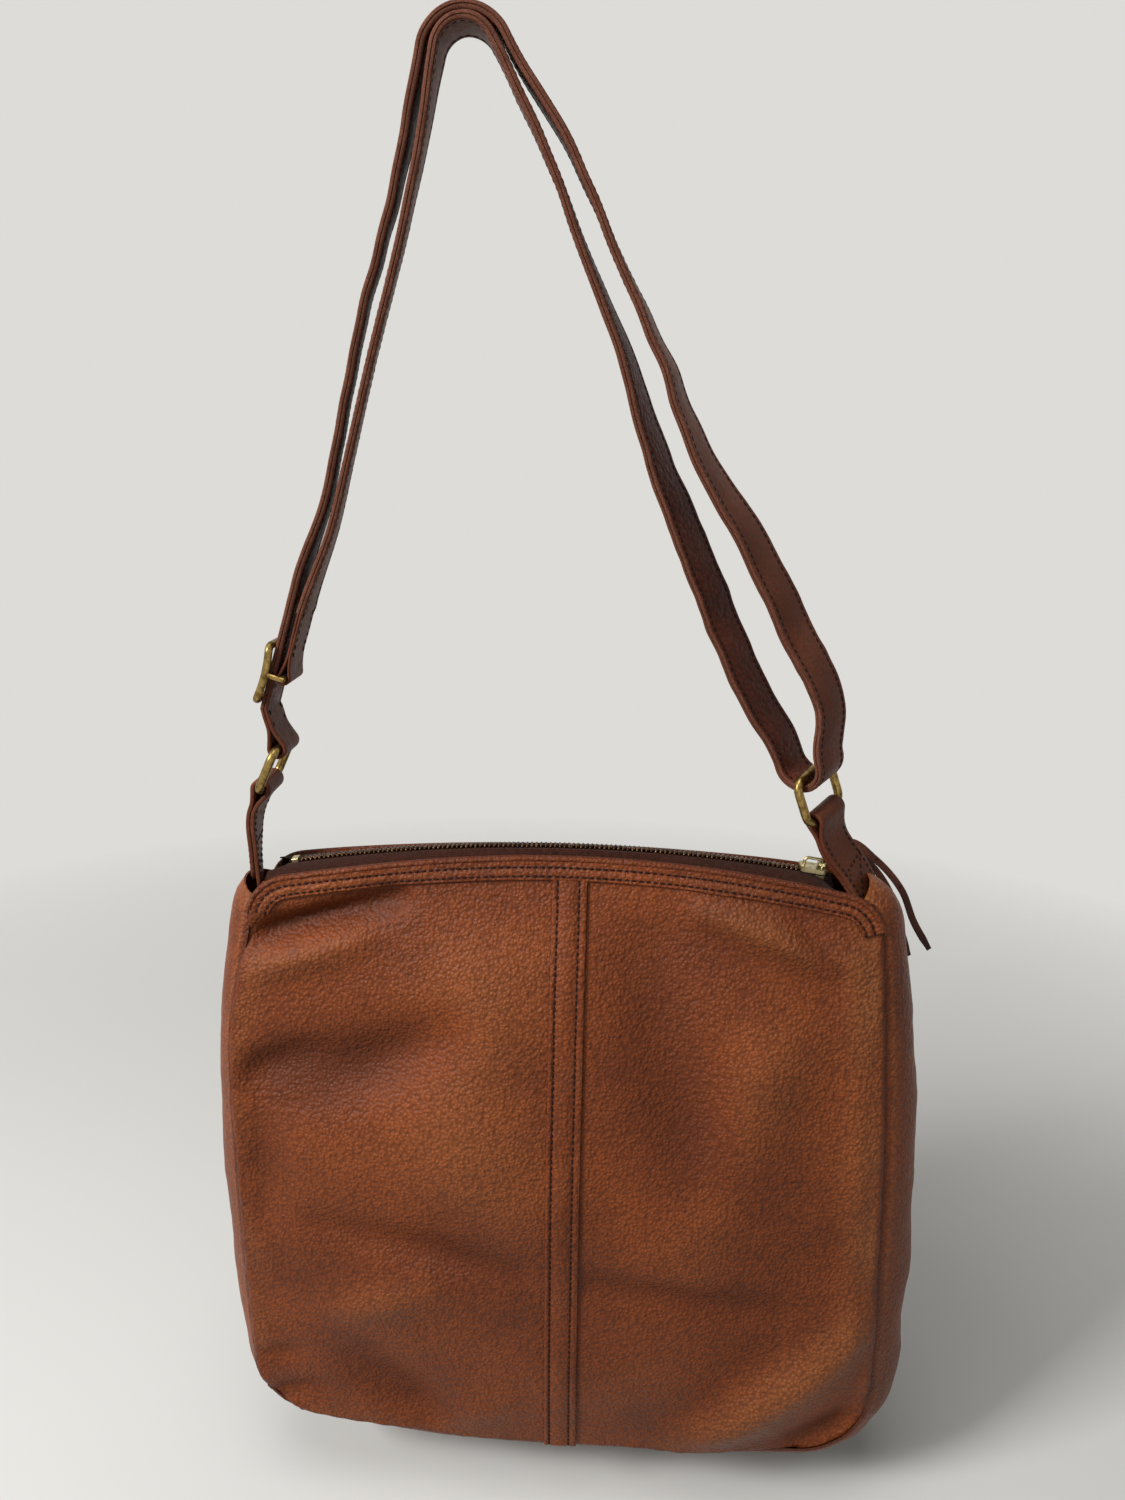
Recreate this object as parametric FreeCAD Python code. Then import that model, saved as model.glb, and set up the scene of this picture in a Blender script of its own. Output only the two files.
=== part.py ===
"""Crossbody messenger bag: soft leather body, arched zip, one long strap on two wire rings.

Everything is drawn in the bag's own frame and then moved so that the hook point is the origin.
Bag frame: x to the bag's right-hand end seen from the front, y to the back, z up,
z = 0 at the top of the closed zip in the middle of the bag. Sizes are in millimetres.
"""

import FreeCAD, Part
import os
from math import acos, asin, atan2, cos, hypot, pi, radians, sin, sqrt

V = FreeCAD.Vector
X_AXIS = V(1, 0, 0)
Y_AXIS = V(0, 1, 0)
FRONT = -1
BACK = 1

# Leather and cloth
LEATHER = 1.4
LINING = 0.6
LAYER_GAP = 0.1
SEAM_GAP = 0.6
FIT = 0.35

# Body outline, seen from the front
BAG_HEIGHT = 312.0
HALF_TOP = 137.0
HALF_BOTTOM = 148.0
SIDE_BELLY = 4.0
BOTTOM_SAG = 8.0
TOP_CORNER = 20.0
BOTTOM_CORNER = 34.0

# Half depth of the body at the side seams and along the middle
SEAM_TOP = 14.0
SEAM_BOTTOM = 28.0
SEAM_BELLY = 8.0
MIDDLE_TOP = 6.5
MIDDLE_BOTTOM = 28.0
MIDDLE_BELLY = 20.0

# Gusset: how far it swells past the seams, where its ends stop, and how finely it is shaped
SWELL_TOP = 8.0
SWELL_BOTTOM = 15.0
SWELL_BELLY = 9.0
GUSSET_END = 24.0
SIDE_STEP = 36.0
CORNER_STEP = 9.0
GUSSET_FACETS = 8

# Front and back trim
BAND_WIDTH = 10.0
BAND_THICKNESS = 1.4
BAND_END = 27.0
STRIP_WIDTH = 16.0
STRIP_THICKNESS = 1.3

# Lining and pocket
LINING_INSET = 2.5
LINING_DROP = 1.0
LINING_GUSSET_END = 52.0
POCKET_WIDTH = 150.0
POCKET_HEIGHT = 105.0
POCKET_TOP = 95.0
POCKET_ROOM = 2.0
POCKET_CORNER = 14.0

# Zip
ZIP_RADIUS = 720.0
ZIP_SHORT_LEFT = 6.0
ZIP_SHORT_RIGHT = 20.0
ZIP_LEFT = HALF_TOP - ZIP_SHORT_LEFT
ZIP_RIGHT = HALF_TOP - ZIP_SHORT_RIGHT
TAPE_SHOW = 2.5
TAPE_THICKNESS = 0.6
TAPE_SEWN = 8.0
TAPE_FLAT = 1.2
TOOTH_PITCH = 3.2
TOOTH_WIDTH = 1.1
TOOTH_HEIGHT = 1.6
TOOTH_OVERLAP = 0.6
CHAIN_HALF = 2.6
SPINE_WIDTH = 0.9
SPINE_HEIGHT = 1.8
TEETH_SHORT = 7.0
TEETH_SHORT_RIGHT = 6.0
TEETH_LEFT = ZIP_LEFT - TEETH_SHORT
TEETH_RIGHT = ZIP_RIGHT - TEETH_SHORT_RIGHT
STOP_LENGTH = 3.0
STOP_WRAP = 0.8

# Zip slider and pull
SLIDER_SHORT = 3.0
SLIDER_PLACE = TEETH_RIGHT - SLIDER_SHORT
SLIDER_LENGTH = 12.0
SLIDER_HALF = 4.6
SLIDER_SOLE_HALF = 3.1
SLIDER_PLATE = 1.2
SLIDER_SLOT = 1.2
SLIDER_POST = 1.4
BAIL_RISE = 3.6
BAIL_WIRE = 0.7
BAIL_SPAN = 8.4
PULL_LENGTH = 10.5
PULL_HALF = 2.7
PULL_THICKNESS = 1.2
PULL_EYE = 1.9
PULL_TURN = 70.0
PULL_DROP = 8.0
THONG_WIDTH = 3.4
THONG_THICKNESS = 1.0
THONG_THROAT = 5.0

# Places that the two tails of the pull's lace pass: x past the panel's corner, y, z and the twist of
# its face in degrees
THONG_UPPER = [
    (-9.0, 19.5, -1.0, 60),
    (3.0, 18.5, -8.5, 40),
    (15.5, 14.0, -22.0, 25),
    (21.5, 11.0, -36.0, 20),
    (29.5, 10.0, -49.0, 20),
]
THONG_LOWER = [
    (-10.0, 21.0, -4.0, 60),
    (1.5, 22.0, -12.0, 40),
    (12.5, 20.0, -27.0, 25),
    (17.5, 18.0, -42.0, 20),
    (22.5, 17.0, -56.0, 20),
]

# Strap hardware
STRAP_WIDTH = 20.0
STRAP_THICKNESS = 3.3
RING_WIRE = 1.95
WIRE_SIDES = 12
RING_ROOM = 24.0
RING_PITCH = 20.6
RING_FIT = 0.8
RING_CORNER = 5.0
PULL_POINT = 330.0
TAB_PLY = 2.0
TAB_THROAT = 10.0
TAB_TWIST = 40.0
TAB_INSIDE = 1.7
TAB_BEND = 28.0
TAB_TAIL = 46.0
LEFT_PIVOT_OUT = 1.5
LEFT_PIVOT_UP = 25.4
RIGHT_PIVOT_IN = 25.3
RIGHT_PIVOT_UP = 19.4
LEFT_PIVOT = V(-HALF_TOP - LEFT_PIVOT_OUT, 0, LEFT_PIVOT_UP)
RIGHT_PIVOT = V(HALF_TOP - RIGHT_PIVOT_IN, 0, RIGHT_PIVOT_UP)

# Strap route: the bight on the hook, the loop in the right ring and the adjuster on the left
HOOK_X = -44.0
HOOK_Z = 324.0
INNER_BIGHT = 12.0
OUTER_BIGHT = 17.0
LEFT_LEAVE = 10.0
RIGHT_LEAVE = 25.0
RING_LOOP = 10.0
STRAP_THROAT = 10.0
ADJUSTER_OUT = 130.0
ADJUSTER_UP = 77.5
ADJUSTER = V(-ADJUSTER_OUT, 0, ADJUSTER_UP)
ADJUSTER_TILT = 17.0
ADJUSTER_ROOM_UP = 45.0
ADJUSTER_ROOM_DOWN = 16.0
ADJUSTER_HEIGHT = 25.0
ADJUSTER_WIRE = 1.7
ADJUSTER_BAR = 1.5
ADJUSTER_BOW = 4.2
ADJUSTER_LUG = 2.6
BAR_PLY = 1.2
BAR_THROAT = 9.0
BAR_TAIL = 30.0
CREASE = 0.05

# Places that the strap passes between its fittings: x, y, z and the twist of its face in degrees
LEFT_OUTER = [
    (-105.6, 0, 150.0, 0),
    (-96.8, 0, 185.0, 0),
    (-87.5, 0, 222.0, 0),
    (-78.6, 0, 250.0, 0),
    (-69.6, 0, 280.0, 0),
]
LEFT_INNER_TOP = [
    (-60.6, 0, 292.0, 0),
    (-72.0, 0, 248.0, 0),
    (-84.0, 0, 208.0, 0),
]
LEFT_INNER_CUT = (-95.6, 0, 166.0, 0)
LEFT_SLACK = [(-102.6, 0, 141.0, 0)]
RIGHT_INNER = [
    (-15.6, 0, 285.0, 0),
    (-0.5, 0, 252.0, 4),
    (16.0, 1, 214.0, 12),
    (30.0, 2, 178.0, 24),
    (44.0, 3, 144.0, 36),
    (60.5, 4, 108.0, 42),
    (79.0, 5, 70.0, 42),
]
RIGHT_OUTER = [
    (-6.0, 0, 286.0, 0),
    (12.5, 0, 250.0, 4),
    (32.0, -1, 211.0, 12),
    (51.5, -2, 170.0, 24),
    (75.0, -3, 133.0, 38),
    (95.0, -4, 97.0, 44),
    (109.5, -5, 68.0, 42),
]


# ---------------------------------------------------------------- geometry helpers


def at(x, z, y=0.0):
    """A point given by its place in the front view, and optionally its depth."""
    return V(x, y, z)


def line(start, end):
    return Part.LineSegment(start, end).toShape()


def arc(start, middle, end):
    return Part.Arc(start, middle, end).toShape()


def slab(edges, low, high):
    """The closed outline of edges in the XZ plane, as a solid from y = low to y = high."""
    face = Part.Face(Part.Wire(edges))
    face.translate(V(0, low, 0))
    return face.extrude(V(0, high - low, 0))


def block(low, high):
    """A box between two corners."""
    size = high - low
    return Part.makeBox(size.x, size.y, size.z, low)


def frame(origin, across, along, up):
    """The placement that takes local x, y and z to across, along and up at origin."""
    matrix = FreeCAD.Matrix(
        across.x, along.x, up.x, origin.x,
        across.y, along.y, up.y, origin.y,
        across.z, along.z, up.z, origin.z,
        0, 0, 0, 1,
    )
    return FreeCAD.Placement(matrix)


def placed(shape, placement):
    """A copy of shape moved from a local frame to its place on the bag."""
    return shape.transformed(placement.toMatrix())


def fused(shapes):
    """One solid of several that touch or overlap."""
    return shapes[0].multiFuse(shapes[1:]).removeSplitter()


def rod(start, end, radius):
    """A round bar between two points."""
    run = end - start
    return Part.makeCylinder(radius, run.Length, start, run)


def bow(share, start, end, belly):
    """A value that runs from start to end and swells by belly half way."""
    return start + (end - start) * share + 4 * belly * share * (1 - share)


def down(z):
    """How far down the body a height is: 0 at the zip, 1 at the bottom seam."""
    return -z / BAG_HEIGHT


def half_width(z):
    return bow(down(z), HALF_TOP, HALF_BOTTOM, SIDE_BELLY)


def seam_depth(z):
    return bow(down(z), SEAM_TOP, SEAM_BOTTOM, SEAM_BELLY)


def middle_depth(z):
    return bow(down(z), MIDDLE_TOP, MIDDLE_BOTTOM, MIDDLE_BELLY)


def depth(x, z):
    """Half depth of the leather body at a place in the front view."""
    return middle_depth(z) + (seam_depth(z) - middle_depth(z)) * (x / half_width(z)) ** 2


def zip_height(x, below=0.0):
    """Height of the arched zip line at x, or of the line a given distance below it."""
    radius = ZIP_RADIUS - below
    return sqrt(radius * radius - x * x) - ZIP_RADIUS


# ---------------------------------------------------------------- leather body


def outline(inset=0.0, drop=0.0, top_corner=TOP_CORNER):
    """Front-view outline of the panels as a thick prism.

    It is drawn in by inset all round, and its top edge by drop as well.
    """
    top = ZIP_RADIUS - TAPE_SHOW - inset - drop
    half_top = HALF_TOP - inset
    half_bottom = HALF_BOTTOM - inset
    corner_z = sqrt(top * top - half_top * half_top) - ZIP_RADIUS
    low_z = inset - BAG_HEIGHT
    side_z = (corner_z + low_z + BOTTOM_SAG) / 2
    side_x = half_width(side_z) - inset
    top_right = at(half_top, corner_z)
    low_right = at(half_bottom, low_z + BOTTOM_SAG)
    top_left = at(-half_top, corner_z)
    low_left = at(-half_bottom, low_z + BOTTOM_SAG)
    edges = [
        arc(top_left, at(0, top - ZIP_RADIUS), top_right),
        arc(top_right, at(side_x, side_z), low_right),
        arc(low_right, at(0, low_z), low_left),
        arc(low_left, at(-side_x, side_z), top_left),
    ]
    reach = BAG_HEIGHT
    prism = slab(edges, -reach, reach)
    corners = [edge for edge in prism.Edges if edge.Length > 1.9 * reach]
    top_edges = [edge for edge in corners if edge.CenterOfMass.z > -BAG_HEIGHT / 2]
    low_edges = [edge for edge in corners if edge.CenterOfMass.z < -BAG_HEIGHT / 2]
    prism = prism.makeFillet(BOTTOM_CORNER - inset, low_edges)
    if not top_corner:
        return prism
    top_edges = [edge for edge in prism.Edges if edge.Length > 1.9 * reach and matches(edge, top_edges)]
    return prism.makeFillet(top_corner - inset, top_edges)


def matches(edge, others):
    """Whether an edge lies where one of the others does."""
    return any((edge.CenterOfMass - other.CenterOfMass).Length < 0.01 for other in others)


def sheet(side, outside, thickness):
    """A crowned leather or cloth sheet on one side of the bag, larger than the outline.

    outside is how far its outer face stands proud of the leather body.
    """
    levels = 7
    over = 5.0
    sections = []
    for level in range(levels):
        z = over - (BAG_HEIGHT + 2 * over) * level / (levels - 1)
        half = half_width(z) + over
        faces = []
        for offset in (outside, outside - thickness):
            places = [half * step / 2 for step in range(-2, 3)]
            points = [V(x, side * (depth(x, z) + offset), z) for x in places]
            curve = Part.BSplineCurve()
            curve.interpolate(points)
            faces.append((curve.toShape(), points[0], points[-1]))
        (outer, outer_left, outer_right), (inner, inner_left, inner_right) = faces
        closing = [line(outer_right, inner_right), line(inner_left, outer_left)]
        sections.append(Part.Wire([outer, closing[0], inner, closing[1]]))
    return Part.makeLoft(sections, True, False)


def vertical_strip(left, right):
    """Everything between two places along the bag's length."""
    reach = 2 * BAG_HEIGHT
    return block(V(left, -reach, -reach), V(right, reach, reach))


def above(z):
    """Everything above a height."""
    reach = 2 * BAG_HEIGHT
    return block(V(-reach, -reach, z), V(reach, reach, reach))


def half_seam(end):
    """Points on the left-hand half of the seam, from a height down to the bottom's middle.

    Each comes with the direction that points straight out of the bag there.
    """
    back = max(outline(top_corner=0).Faces, key=lambda face: face.CenterOfMass.y)
    edges = [edge for edge in back.OuterWire.Edges if edge.CenterOfMass.z < -end]
    edges = [edge for edge in edges if edge.CenterOfMass.x < 0.01]
    side, corner, bottom = sorted(edges, key=lambda edge: -edge.CenterOfMass.z)
    stations = []
    for edge, spacing in ((side, SIDE_STEP), (corner, CORNER_STEP), (bottom, SIDE_STEP)):
        count = 2 * max(1, round(edge.Length / spacing / 2)) + 1
        points = sorted(edge.discretize(Number=count), key=lambda point: point.x - point.z)
        for point in points[1 if stations else 0:]:
            tangent = edge.tangentAt(edge.Curve.parameter(point))
            outward = V(-tangent.z, 0, tangent.x).normalize()
            flat = V(point.x, 0, point.z)
            if outward.dot(flat + V(0, 0, BAG_HEIGHT / 2)) < 0:
                outward = outward * -1
            stations.append((flat, outward))
    stations = [station for station in stations if station[0].x < 0.01]
    kept = [station for station in stations if station[0].z < -end - 0.2 * SIDE_STEP]
    (near, outward), (far, _) = kept[0], stations[stations.index(kept[0]) - 1]
    share = (-end - near.z) / (far.z - near.z)
    return [(near + (far - near) * share, outward)] + kept


def gusset_strip(inward, thickness, narrower, end):
    """A strip round the sides and bottom, swelling outwards between the two seams."""
    sections = []
    for point, outward in half_seam(end):
        half = seam_depth(point.z) - LEATHER - SEAM_GAP - narrower
        swell = bow(down(point.z), SWELL_TOP, SWELL_BOTTOM, SWELL_BELLY)
        faces = []
        for offset in (inward, inward + thickness):
            base = point - outward * offset
            curve = arc(base - Y_AXIS * half, base + outward * swell, base + Y_AXIS * half)
            faces.append(curve.discretize(Number=GUSSET_FACETS + 1))
        outer, inner = faces
        sections.append(Part.makePolygon(outer + inner[::-1] + outer[:1]))
    left = Part.makeLoft(sections, True, True)
    if left.Volume < 0:
        left.reverse()
    return fused([left, left.mirror(V(0, 0, 0), X_AXIS)])


def leather_body():
    """Panels, centre strip, top bands and gusset."""
    shape = outline()
    inner = outline(BAND_WIDTH)
    trim = shape.cut(inner).common(above(-BAND_END))
    front = sheet(FRONT, 0, LEATHER).common(shape)
    back = sheet(BACK, 0, LEATHER).common(shape)
    reach = 2 * HALF_BOTTOM
    strip = sheet(FRONT, LAYER_GAP + STRIP_THICKNESS, STRIP_THICKNESS)
    strip = strip.common(vertical_strip(-STRIP_WIDTH / 2, STRIP_WIDTH / 2))
    strip = strip.common(outline(BAND_WIDTH + LAYER_GAP)).fuse(
        sheet(FRONT, LAYER_GAP + STRIP_THICKNESS, STRIP_THICKNESS)
        .common(vertical_strip(-STRIP_WIDTH / 2, STRIP_WIDTH / 2))
        .common(shape)
        .cut(above(-BAG_HEIGHT / 2))
    )
    return {
        "front_panel_left": front.common(vertical_strip(-reach, -LAYER_GAP)),
        "front_panel_right": front.common(vertical_strip(LAYER_GAP, reach)),
        "front_centre_strip": strip.removeSplitter(),
        "front_top_band": sheet(FRONT, LAYER_GAP + BAND_THICKNESS, BAND_THICKNESS).common(trim),
        "back_panel": back,
        "back_top_band": sheet(BACK, LAYER_GAP + BAND_THICKNESS, BAND_THICKNESS).common(trim),
        "gusset": gusset_strip(0, LEATHER, 0, GUSSET_END),
    }


def lining():
    """Cloth lining of both panels and the gusset, and the slip pocket on the back lining."""
    inside = LEATHER + LAYER_GAP
    shape = outline(LINING_INSET, BAND_WIDTH + LINING_DROP)
    under = inside + LINING
    pocket_low = -(POCKET_TOP + POCKET_HEIGHT)
    wall = LINING + 2 * LAYER_GAP
    pouch = pocket_prism(0, pocket_low).common(sheet(BACK, -under, POCKET_ROOM + LINING))
    room = pocket_prism(wall, pocket_low + wall).common(sheet(BACK, -under + wall, POCKET_ROOM + wall))
    return {
        "lining_front": sheet(FRONT, -inside, LINING).common(shape),
        "lining_back": sheet(BACK, -inside, LINING).common(shape),
        "lining_gusset": gusset_strip(inside, LINING, inside + LINING, LINING_GUSSET_END),
        "inner_pocket": pouch.cut(room),
    }


def pocket_prism(inset, low):
    """Front-view outline of the slip pocket with rounded lower corners, open at the top if inset."""
    half = POCKET_WIDTH / 2 - inset
    corner = POCKET_CORNER - inset
    high = -POCKET_TOP + (BAND_WIDTH if inset else 0)
    shape = block(V(-half, 0, low), V(half, 2 * SEAM_BOTTOM, high))
    edges = [
        edge
        for edge in shape.Edges
        if abs(edge.CenterOfMass.y - SEAM_BOTTOM) < 0.01 and edge.CenterOfMass.z < low + 0.01
    ]
    return shape.makeFillet(corner, edges)


# ---------------------------------------------------------------- zip


def zip_tape(side):
    """One woven tape: flat beside the teeth, then down behind the leather band."""
    sections = []
    steps = 10
    for step in range(steps + 1):
        x = -ZIP_LEFT + (ZIP_LEFT + ZIP_RIGHT) * step / steps
        line_z = zip_height(x)
        edge_z = zip_height(x, TAPE_SHOW + 1)
        low_z = edge_z - TAPE_SEWN
        inside = LEATHER + SEAM_GAP
        start = CHAIN_HALF + LAYER_GAP
        flat = start + TAPE_FLAT
        half = TAPE_THICKNESS / 2
        top_y = max(depth(x, edge_z) - inside, flat)
        low_y = max(depth(x, low_z) - inside, flat)
        profile = [
            (start, line_z + half),
            (flat, line_z + half),
            (top_y, edge_z + half),
            (low_y, low_z),
            (low_y - TAPE_THICKNESS, low_z),
            (top_y - TAPE_THICKNESS, edge_z - half),
            (flat - half, line_z - half),
            (start, line_z - half),
        ]
        points = [V(x, side * y, z) for y, z in profile]
        sections.append(Part.makePolygon(points + points[:1]))
    return Part.makeLoft(sections, True, True)


def on_arc(shape, x):
    """A copy of a shape drawn at the top of the zip, carried round the arch to x."""
    moved = shape.copy()
    turn = asin(x / ZIP_RADIUS) * 180 / pi
    moved.rotate(V(0, 0, -ZIP_RADIUS), Y_AXIS, turn)
    return moved


def arch_bar(side, near, far, low, high, left, right):
    """A bar that follows the zip's arch, between two depths and two heights."""
    outer = ZIP_RADIUS + high
    inner = ZIP_RADIUS + low
    ends = [asin(x / ZIP_RADIUS) for x in (-left, right)]
    middle = sum(ends) / 2

    def place(radius, angle):
        return at(radius * sin(angle), radius * cos(angle) - ZIP_RADIUS)

    edges = [
        arc(*[place(outer, angle) for angle in (ends[0], middle, ends[1])]),
        line(place(outer, ends[1]), place(inner, ends[1])),
        arc(*[place(inner, angle) for angle in (ends[1], middle, ends[0])]),
        line(place(inner, ends[0]), place(outer, ends[0])),
    ]
    return slab(edges, *sorted((side * near, side * far)))


def zip_teeth(side):
    """A row of teeth on its spine; the two rows mesh, half a pitch apart."""
    half = TOOTH_HEIGHT / 2
    rib = SPINE_HEIGHT / 2
    shift = TOOTH_PITCH / 2 if side == BACK else 0.0
    count = int((TEETH_LEFT + TEETH_RIGHT) / TOOTH_PITCH)
    root = CHAIN_HALF - SPINE_WIDTH
    low_y, high_y = sorted((-side * TOOTH_OVERLAP, side * (root + LAYER_GAP)))
    tooth = block(V(-TOOTH_WIDTH / 2, low_y, -half), V(TOOTH_WIDTH / 2, high_y, half))
    spine = arch_bar(side, root, CHAIN_HALF, -rib, rib, TEETH_LEFT, TEETH_RIGHT)
    teeth = []
    for number in range(count):
        x = -TEETH_LEFT + TOOTH_WIDTH + shift + number * TOOTH_PITCH
        teeth.append(on_arc(tooth, x))
    return spine.multiFuse(teeth)


def zip_stop(x, half):
    """A folded metal stop that grips the chain or one tape edge."""
    height = SPINE_HEIGHT / 2 + STOP_WRAP
    low = V(-STOP_LENGTH / 2, -half, -height)
    high = V(STOP_LENGTH / 2, half, height)
    stop = block(low, high)
    long_edges = [edge for edge in stop.Edges if abs(edge.Length - STOP_LENGTH) < 0.01]
    return on_arc(stop.makeFillet(STOP_WRAP * 0.8, long_edges), x)


def zip_slider():
    """Two wings round the chain, a post that parts the teeth, and the bail on top."""
    half = SLIDER_LENGTH / 2
    clear = SPINE_HEIGHT / 2 + FIT
    slot = SLIDER_SLOT / 2
    top = block(V(-half, -SLIDER_HALF, slot), V(half, SLIDER_HALF, clear + SLIDER_PLATE))
    sole = block(V(-half, -SLIDER_SOLE_HALF, -clear - SLIDER_PLATE), V(half, SLIDER_SOLE_HALF, -slot))
    upright = [edge for edge in top.Edges if edge.BoundBox.ZLength > 0.5 and edge.BoundBox.XLength < 0.01]
    top = top.makeFillet(2.0, upright)
    upright = [edge for edge in sole.Edges if edge.BoundBox.ZLength > 0.5 and edge.BoundBox.XLength < 0.01]
    sole = sole.makeFillet(1.2, upright)
    room = CHAIN_HALF + FIT
    channel = block(V(-2 * half, -room, -clear), V(2 * half, room, clear))
    post_place = half - SLIDER_POST
    post = Part.makeCylinder(SLIDER_POST / 2, 2 * clear, V(post_place, 0, -clear))
    foot = clear + SLIDER_PLATE
    span = BAIL_SPAN / 2
    rise = foot + BAIL_RISE
    knee = span - 1.6
    path = Part.Wire([
        line(V(-span, 0, foot - 0.4), V(-span, 0, rise - 1.6)),
        arc(V(-span, 0, rise - 1.6), V(-span + 0.5, 0, rise - 0.45), V(-knee, 0, rise)),
        line(V(-knee, 0, rise), V(knee, 0, rise)),
        arc(V(knee, 0, rise), V(span - 0.5, 0, rise - 0.45), V(span, 0, rise - 1.6)),
        line(V(span, 0, rise - 1.6), V(span, 0, foot - 0.4)),
    ])
    section = Part.Wire([Part.makeCircle(BAIL_WIRE, V(-span, 0, foot - 0.4), V(0, 0, 1))])
    bail = path.makePipeShell([section], True, True)
    body = fused([top.cut(channel), sole.cut(channel), post, bail])
    return on_arc(body, SLIDER_PLACE)


def bail_leg():
    """The middle of the bail's right-hand leg, where the pull hangs."""
    angle = asin(SLIDER_PLACE / ZIP_RADIUS)
    height = SPINE_HEIGHT / 2 + FIT + SLIDER_PLATE + BAIL_RISE / 2
    radius = ZIP_RADIUS + height
    across = BAIL_SPAN / 2
    return at(radius * sin(angle) + across * cos(angle), radius * cos(angle) - ZIP_RADIUS - across * sin(angle))


def pull_frame():
    """The pull's own frame: x along it, from the bail to the thong, and z through its thickness."""
    turn, drop = radians(PULL_TURN), radians(PULL_DROP)
    along = V(cos(turn) * cos(drop), sin(turn) * cos(drop), -sin(drop))
    across = V(-sin(turn), cos(turn), 0)
    return frame(bail_leg(), along, across, along.cross(across))


def zip_puller():
    """A flat brass link with an eye for the bail and a slot for the thong."""
    half = PULL_THICKNESS / 2
    plate = block(V(0, -PULL_HALF, -half), V(PULL_LENGTH, PULL_HALF, half))
    ends = [Part.makeCylinder(PULL_HALF, PULL_THICKNESS, V(x, 0, -half)) for x in (0, PULL_LENGTH)]
    eye = Part.makeCylinder(PULL_EYE, 2 * PULL_THICKNESS, V(0, 0, -PULL_THICKNESS))
    slot_x = PULL_LENGTH - 0.4
    slot = block(
        V(slot_x - 1.1, -PULL_HALF + 0.8, -PULL_THICKNESS),
        V(slot_x + 1.1, PULL_HALF - 0.8, PULL_THICKNESS),
    )
    link = fused([plate] + ends).cut(eye).cut(slot)
    return placed(link, pull_frame())


def thongs():
    """The lace looped through the pull's slot, its two tails draped over the end of the bag."""
    local = pull_frame()
    turn = local.Rotation
    along, across, normal = (turn.multVec(axis) for axis in (X_AXIS, Y_AXIS, V(0, 0, 1)))
    end_bar = local.multVec(V(PULL_LENGTH + PULL_HALF / 2 + 0.35, 0, 0))
    tail = THONG_THROAT + 1
    loop = folded_end(PULL_THICKNESS, THONG_THICKNESS, THONG_THROAT, tail, THONG_WIDTH)
    loop = placed(loop, frame(end_bar, normal * -1, across, along))
    start = end_bar + along * tail
    pieces = [loop]
    for side, route in ((1, THONG_UPPER), (-1, THONG_LOWER)):
        stations = [(start + normal * (side * THONG_THICKNESS / 2), 90 - PULL_TURN)]
        stations += [(V(HALF_TOP + x, y, z), twist) for x, y, z, twist in route]
        pieces.append(ribbon(stations, THONG_WIDTH, THONG_THICKNESS, first=along * -1))
    return fused(pieces)


# ---------------------------------------------------------------- straps, rings and tabs


def section(centre, tangent, twist, width, thickness):
    """Corners of a strap's cross section: its face turned by twist degrees about its run."""
    run = tangent.normalize()
    flat = (Y_AXIS - run * Y_AXIS.dot(run)).normalize()
    face = flat.cross(run)
    turn = radians(twist)
    wide = flat * cos(turn) + face * sin(turn)
    thick = face * cos(turn) - flat * sin(turn)
    corners = [(-1, -1), (1, -1), (1, 1), (-1, 1)]
    points = [centre + wide * (a * width / 2) + thick * (b * thickness / 2) for a, b in corners]
    return Part.makePolygon(points + points[:1])


def ribbon(stations, width, thickness, first=None, last=None):
    """A strap through stations of centre and twist, drawn from its upper end down.

    first and last are the runs' directions at the two ends, where they are set by a neighbour.
    """
    centres = [centre for centre, twist in stations]
    wires = []
    for number, (centre, twist) in enumerate(stations):
        before = centres[max(number - 1, 0)]
        after = centres[min(number + 1, len(centres) - 1)]
        run = before - after
        if number == 0 and first is not None:
            run = first * 1
        if number == len(stations) - 1 and last is not None:
            run = last * 1
        wires.append(section(centre, run, twist, width, thickness))
    return Part.makeLoft(wires, True, len(wires) == 2)


def teardrop(radius, half, throat):
    """Outline of a loop round a bar at the origin, closing to a neck of two halves at throat."""
    reach = hypot(half, throat)
    angle = atan2(throat, half) - acos(radius / reach)
    right = at(radius * cos(angle), radius * sin(angle))
    left = at(-right.x, right.z)
    return [
        line(right, at(half, throat)),
        line(at(half, throat), at(-half, throat)),
        line(at(-half, throat), left),
        arc(left, at(0, -radius), right),
    ]


def folded_end(bar_radius, ply, throat, tail, width, fit=FIT):
    """A strap end folded round a bar at the origin and sewn to itself, its tail upwards."""
    room = bar_radius + fit
    low, high = -width / 2, width / 2
    loop = slab(teardrop(room + ply, ply, throat), low, high)
    hollow = slab(teardrop(room, CREASE, throat - ply), low, high)
    neck = block(V(-ply, low, throat), V(ply, high, tail))
    return loop.fuse(neck).cut(hollow).removeSplitter()


def lean_to(pivot):
    """Direction from a tab's pivot to the point above the bag where the two pulls meet."""
    return (V(0, 0, PULL_POINT) - pivot).normalize()


def hang_frame(pivot, twist):
    """Across, along and up directions of a ring: its bars run along, its pull runs up."""
    up = lean_to(pivot)
    face = Y_AXIS.cross(up)
    turn = radians(twist)
    along = Y_AXIS * cos(turn) + face * sin(turn)
    across = face * cos(turn) - Y_AXIS * sin(turn)
    return across, along, up


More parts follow.
